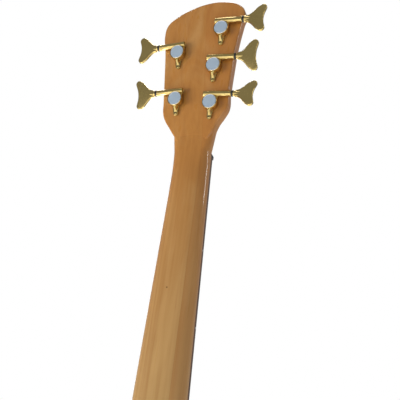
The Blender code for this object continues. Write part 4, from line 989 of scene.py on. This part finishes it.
def front_slab(loop, front, back, edge, back_edge=None, steps=5):
    """A plate seen from the front as (x, z), between two Y values."""
    grid = slab(loop, 0, back - front, edge, steps, back_edge)
    return placed(grid, Matrix.Translation((0, back, 0)) @ FRONT_UP)


def body_wood():
    """The body's outline as a thick plate with round edges."""
    edge = bpy.context.scene.bass_sizes.body_edge
    loop = round_loop([on_body(point) for point in BODY_OUTLINE], 10)
    grid = front_slab(loop, BODY_TOP, BODY_BACK, edge, steps=9)
    surface("body_wood", [grid], "body", "body", angle=50)


def box_loop(node, corner):
    """A node's box from the front as a rounded rectangle, and the box's two corners."""
    low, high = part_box(node)
    centre = ((low[0] + high[0]) / 2, (low[2] + high[2]) / 2)
    return rounded_rectangle(high[0] - low[0], high[2] - low[2], corner) + centre, low, high


def front_screws(name, places, radius, y, turn=FRONT_UP):
    """Screw heads at (x, z) places on a face at y, their cross slots drawn as black bars of painted shade."""
    heads, slot_shades = [], []
    for x, z in places:
        matrix = Matrix.Translation((x, y, z)) @ turn
        heads.append(screw_head(radius, radius * 0.45, matrix))
        slot_shades += cross_slot_shade(radius, radius * 0.45, matrix)
    surface(name, heads, "gold")
    # The slots' black bars are painted shade.
    surface(name + "_cuts", slot_shades, "black")


def neck_plate():
    """The plate on the body's back with its four bolts."""
    loop, low, high = box_loop("neck_plate", NECK_PLATE_CORNER)
    grid = front_slab(loop, low[1], high[1], FLAT_EDGE, NECK_PLATE_EDGE)
    surface("neck_bolt_plate", [grid], "gold", "neck_plate")
    across = (low[0] + NECK_BOLT_INSET, high[0] - NECK_BOLT_INSET)
    along = (low[2] + NECK_BOLT_INSET, high[2] - NECK_BOLT_INSET)
    places = [(x, z) for x in across for z in along]
    y = high[1] - NECK_PLATE_EDGE - SCREW_SINK
    front_screws("neck_bolts", places, NECK_BOLT_RADIUS, y, FRONT_UP.inverted())


def rod_cover():
    """The truss rod's cover: a foot that narrows in two curves to a round top."""
    half, tip = ROD_COVER_HALF_WIDTH, ROD_COVER_HALF_WIDTH * 0.5
    side = ((half, 0), (half, 6 * MM), (half * 0.72, 20 * MM)) + np.array((0, ROD_COVER_FOOT))
    angle = np.radians(np.linspace(20, 160, 6))
    top = np.column_stack((tip * np.cos(angle), ROD_COVER_TOP - tip + tip * np.sin(angle)))
    points = np.vstack((side, top, side[::-1] * (-1, 1)))
    cover = slab(round_loop(points, 6), CLEAR, CLEAR + ROD_COVER_THICKNESS, 0.6 * MM)
    surface("rod_cover", [placed(cover, HEAD_FRAME)], "black", "truss_rod_cover")
    height = CLEAR + ROD_COVER_THICKNESS - SCREW_SINK
    places = [HEAD_FRAME @ Matrix.Translation((x, s, height)) for x, s in ROD_COVER_SCREWS]
    screws = [screw_head(ROD_SCREW_RADIUS, ROD_SCREW_HEIGHT, place) for place in places]
    surface("rod_cover_screws", screws, "gold")


def pickups():
    """Two pickup covers with a screw at each end."""
    for name in ("neck", "bridge"):
        loop, low, high = box_loop(f"pickup_{name}", PICKUP_CORNER)
        grid = front_slab(loop, low[1], high[1], PICKUP_EDGE, PICKUP_BACK_EDGE, 7)
        surface(f"pickup_{name}_cover", [grid], "pickup", f"pickup_{name}")
        middle = (low[2] + high[2]) / 2
        places = [(low[0] + PICKUP_SCREW_INSET, middle), (high[0] - PICKUP_SCREW_INSET, middle)]
        front_screws(f"pickup_{name}_screws", places, PICKUP_SCREW_RADIUS, low[1] + SCREW_SINK)


def bridge():
    """The screws at the plate's upper edge, and the two height screws of each saddle."""
    dress("bridge_plate", "gold")
    low, high = BRIDGE
    z = high[2] - BRIDGE_SCREW_DROP
    places = [(x, z) for x in (low[0] + BRIDGE_SCREW_INSET, 0.0, high[0] - BRIDGE_SCREW_INSET)]
    front_screws("bridge_screws", places, BRIDGE_SCREW_RADIUS, BRIDGE_FACE + SCREW_SINK)
    for name in STRINGS:
        node = f"saddle_{name}"
        dress(node, "gold")
        low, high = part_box(node)
        y, z = high[1] - SADDLE_SCREW_DEPTH, high[2] - SADDLE_SCREW_DROP
        heads = []
        for offset in (-SADDLE_SCREW_OFFSET, SADDLE_SCREW_OFFSET):
            place = Matrix.Translation(((low[0] + high[0]) / 2 + offset, y, z))
            heads.append(screw_head(SADDLE_SCREW_RADIUS, SADDLE_SCREW_HEIGHT, place @ FRONT_UP))
        surface(f"saddle_{name}_screws", heads, "steel", body=node)


def knob(name):
    """A turned knob, knurled by a small step of its radius many times round, with a mark."""
    joint = next(j for j in frame["joints"] if j["name"] == f"knob_{name}_turn")
    matrix = Matrix.Translation(joint["pos_m"]) @ FRONT_UP
    grid = turned(np.array(KNOB_PROFILE) * MM, KNOB_SIDES)
    angle = np.linspace(0, 2 * math.pi, KNOB_SIDES, endpoint=False)
    grid[KNURLED_ROWS, :, :2] *= np.where(np.sin(KNURLS * angle) > 0, KNURL_SHARE, 1)[:, None]
    body = f"knob_{name}"
    surface(body + "_grip", [placed(grid, matrix)], "gold", body, body, 30)
    mark = rounded_rectangle(MARK_WIDTH, MARK_LENGTH, MARK_CORNER)
    mark = slab(mark, KNOB_TOP - 0.1 * MM, KNOB_TOP, SMALLEST_RADIUS, 2)
    mark = placed(mark, matrix @ Matrix.Translation((0, MARK_PLACE, 0)))
    surface(body + "_mark", [mark], "black", body=body)
    dress(f"potentiometer_{name}", "steel")


def control_cover():
    """The cover on the back: two half circles joined by straight sides, with four screws."""
    first, last = on_body(COVER_FIRST), on_body(COVER_LAST)
    heading = math.atan2(last[1] - first[1], last[0] - first[0])
    angle = np.linspace(heading - math.pi / 2, heading + math.pi / 2, 25)
    half_circle = COVER_RADIUS * np.column_stack((np.cos(angle), np.sin(angle)))
    loop = np.concatenate((last + half_circle, first - half_circle))
    back = BODY_BACK + COVER_PROUD
    grid = front_slab(loop, BODY_BACK - COVER_SUNK, back, FLAT_EDGE, COVER_EDGE)
    surface("control_back_cover", [grid], "black", "control_cover")
    across = np.array((-math.sin(heading), math.cos(heading))) * (COVER_RADIUS - COVER_SCREW_INSET)
    places = [tuple(end + side * across) for end in (first, last) for side in (1, -1)]
    turn = FRONT_UP.inverted()
    front_screws("control_cover_screws", places, COVER_SCREW_RADIUS, back - SCREW_SINK, turn)


def jack_and_buttons():
    """The jack's ring in the body's side, and the strap buttons at the horn and the tail."""
    face, z = on_body(JACK_SIDE)
    middle = (BODY_TOP + BODY_BACK) / 2
    ring = lathe(JACK_PROFILE, Matrix.Translation((face, middle, z)) @ ALONG_X)
    surface("jack_ring", [ring], "gold", "jack_socket")
    for name, point, up in (("horn", BASS_HORN_TIP, 1), ("tail", TAIL, -1)):
        x, z = on_body(point)
        turn = Matrix.Rotation(math.pi, 4, "X") if up < 0 else Matrix.Identity(4)
        matrix = Matrix.Translation((x, middle, z - up * BUTTON_SINK)) @ turn
        screw_foot = matrix @ Matrix.Translation((0, 0, BUTTON_SCREW_FOOT))
        screw = screw_head(BUTTON_SCREW_RADIUS, BUTTON_SCREW_HEIGHT, screw_foot)
        button = [lathe(BUTTON_PROFILE, matrix), screw]
        surface(f"strap_button_{name}_turned", button, "gold", f"strap_button_{name}")


# Stage


def area_light(name, place, target, size, power, mirrored=True):
    """A rectangular light that the camera doesn't see, and polished pieces mirror only if asked."""
    light = bpy.data.lights.new(name, "AREA")
    light.shape = "RECTANGLE"
    light.size, light.size_y = size
    light.energy = power
    obj = bpy.data.objects.new(name, light)
    obj.visible_camera = False
    obj.visible_glossy = mirrored
    obj.location = place
    obj.rotation_euler = (Vector(target) - Vector(place)).to_track_quat("-Z", "Y").to_euler()
    bpy.context.scene.collection.objects.link(obj)


def floor():
    """A pale floor just below the tail."""
    depth = CAD_BOUNDS[0][2] - 2 * MM
    corners = [(x * FLOOR_REACH, y * FLOOR_REACH, depth) for x, y in ((-1, -1), (1, -1), (1, 1), (-1, 1))]
    mesh = bpy.data.meshes.new("floor")
    mesh.from_pydata(corners, [], [(0, 1, 2, 3)])
    obj = bpy.data.objects.new("floor", mesh)
    bpy.context.scene.collection.objects.link(obj)
    paper = Finish("pale_floor", FLOOR_GREY)
    paper.lay(FLOOR_WHITE, paper.noise(2, 2, 2, 2))
    glow = {"Emission_Color": (1, 1, 1, 1), "Emission_Strength": FLOOR_GLOW}
    mesh.materials.append(paper.done(Roughness=0.7, **glow))


def sky():
    """White where the camera sees it, and a soft grey room for the object."""
    lights = bpy.context.scene.stage_lights
    world = bpy.data.worlds.new("studio")
    bpy.context.scene.world = world
    world.use_nodes = True
    tree = world.node_tree
    tree.nodes.clear()
    room = add_node(tree, "Background", Color=opaque(ROOM_COLOUR), Strength=lights.sky)
    white = add_node(tree, "Background", Color=(1, 1, 1, 1), Strength=1.0)
    seen = add_node(tree, "LightPath").outputs["Is Camera Ray"]
    mixed = add_node(tree, "MixShader", in0=seen, in1=room.outputs[0], in2=white.outputs[0])
    add_node(tree, "OutputWorld", Surface=mixed.outputs[0])


def camera():
    """The camera at the photograph's place: it looks against `back`, rolled about it."""
    yaw, pitch, roll = (math.radians(a) for a in (CAMERA_YAW, CAMERA_PITCH, CAMERA_ROLL))
    level = math.cos(pitch)
    back = Vector((-math.sin(yaw) * level, math.cos(yaw) * level, -math.sin(pitch)))
    right = Vector((0, 0, 1)).cross(back).normalized()
    up = back.cross(right)
    rolled_right = right * math.cos(roll) + up * math.sin(roll)
    rolled_up = up * math.cos(roll) - right * math.sin(roll)
    data = bpy.data.cameras.new("camera")
    data.lens = CAMERA_LENS
    data.sensor_width = 36
    data.clip_start = 0.01
    obj = bpy.data.objects.new("camera", data)
    obj.matrix_world = Matrix((rolled_right, rolled_up, back)).transposed().to_4x4()
    obj.location = CAMERA_PLACE
    bpy.context.scene.collection.objects.link(obj)
    bpy.context.scene.camera = obj


def stage():
    """The floor, the room, the camera and the lights."""
    lights = bpy.context.scene.stage_lights
    floor()
    sky()
    camera()
    area_light("key", (1.7, 1.35, -0.5), (0, 0, -0.2), (1.2, 1.2), lights.key_power, mirrored=False)
    area_light("upper_strip", (0.40, -0.58, 1.15), (0, 0.03, 0.1), (0.5, 0.3), lights.strip_power)
    area_light("lower_strip", (0.36, -0.32, -0.80), (0, 0.03, 0.1), (0.5, 0.3), lights.strip_power)
    area_light("edge_strip", (-0.95, -0.30, 0.66), (0, 0.03, -0.1), (0.12, 0.5), lights.strip_power * 0.5)
    overhead = bpy.data.lights.new("overhead", "SUN")
    overhead.energy = lights.overhead
    overhead.angle = math.radians(30)
    bpy.context.scene.collection.objects.link(bpy.data.objects.new("overhead", overhead))
    area_light("front", (0.7, -2.1, 0.2), (0, 0, -0.45), (1.6, 1.6), lights.front_power)
    bpy.context.scene.view_settings.view_transform = "Standard"


# Operators and panel


class BASS_OT_neck(bpy.types.Operator):
    """Build the neck, the headstock and the truss rod cover"""

    bl_idname = "bass.neck"
    bl_label = "Neck"

    def execute(self, context):
        make_finishes()
        neck_wood()
        neck_plate()
        rod_cover()
        dress("nut", "black")
        dress("truss_rod", "steel")
        return {"FINISHED"}


class BASS_OT_fingerboard(bpy.types.Operator):
    """Build the fingerboard, the frets and the position dots"""

    bl_idname = "bass.fingerboard"
    bl_label = "Fingerboard"

    def execute(self, context):
        make_finishes()
        fingerboard()
        return {"FINISHED"}


class BASS_OT_tuners(bpy.types.Operator):
    """Build the tuners"""

    bl_idname = "bass.tuners"
    bl_label = "Tuners"

    def execute(self, context):
        make_finishes()
        for name in STRINGS:
            tuner(name)
        return {"FINISHED"}


class BASS_OT_strings(bpy.types.Operator):
    """Build the wound strings"""

    bl_idname = "bass.strings"
    bl_label = "Strings"

    def execute(self, context):
        make_finishes()
        strings()
        return {"FINISHED"}


class BASS_OT_body(bpy.types.Operator):
    """Build the body and what is on it"""

    bl_idname = "bass.body"
    bl_label = "Body and hardware"

    def execute(self, context):
        make_finishes()
        body_wood()
        pickups()
        bridge()
        for name in ("volume", "blend", "tone"):
            knob(name)
        control_cover()
        jack_and_buttons()
        return {"FINISHED"}


class BASS_OT_stage(bpy.types.Operator):
    """Build the floor, the lights and the camera"""

    bl_idname = "bass.stage"
    bl_label = "Stage"

    def execute(self, context):
        stage()
        return {"FINISHED"}


STEPS = (
    BASS_OT_neck, BASS_OT_fingerboard, BASS_OT_tuners, BASS_OT_strings, BASS_OT_body, BASS_OT_stage,
)
GROUPS = {"bass_colours": BassColours, "bass_sizes": BassSizes, "stage_lights": StageLights}


class BASS_PT_panel(bpy.types.Panel):
    """The sizes, the colours and the steps"""

    bl_idname = "BASS_PT_panel"
    bl_label = "Electric bass guitar"
    bl_space_type = "VIEW_3D"
    bl_region_type = "UI"
    bl_category = "Bass"

    def draw(self, context):
        for group in GROUPS:
            for name in getattr(context.scene, group).__annotations__:
                self.layout.prop(getattr(context.scene, group), name)
        for step in STEPS:
            self.layout.operator(step.bl_idname)


def register():
    """Adds the settings, the steps and the panel."""
    for group, kind in GROUPS.items():
        bpy.utils.register_class(kind)
        setattr(bpy.types.Scene, group, bpy.props.PointerProperty(type=kind))
    for step in STEPS:
        bpy.utils.register_class(step)
    bpy.utils.register_class(BASS_PT_panel)


def unregister():
    """Takes them away again, in the other order."""
    bpy.utils.unregister_class(BASS_PT_panel)
    for step in reversed(STEPS):
        bpy.utils.unregister_class(step)
    for group, kind in GROUPS.items():
        delattr(bpy.types.Scene, group)
        bpy.utils.unregister_class(kind)


def main():
    """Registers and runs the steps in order."""
    register()
    bpy.ops.bass.neck()
    bpy.ops.bass.fingerboard()
    bpy.ops.bass.tuners()
    bpy.ops.bass.strings()
    bpy.ops.bass.body()
    bpy.ops.bass.stage()


if __name__ == "__main__":
    main()
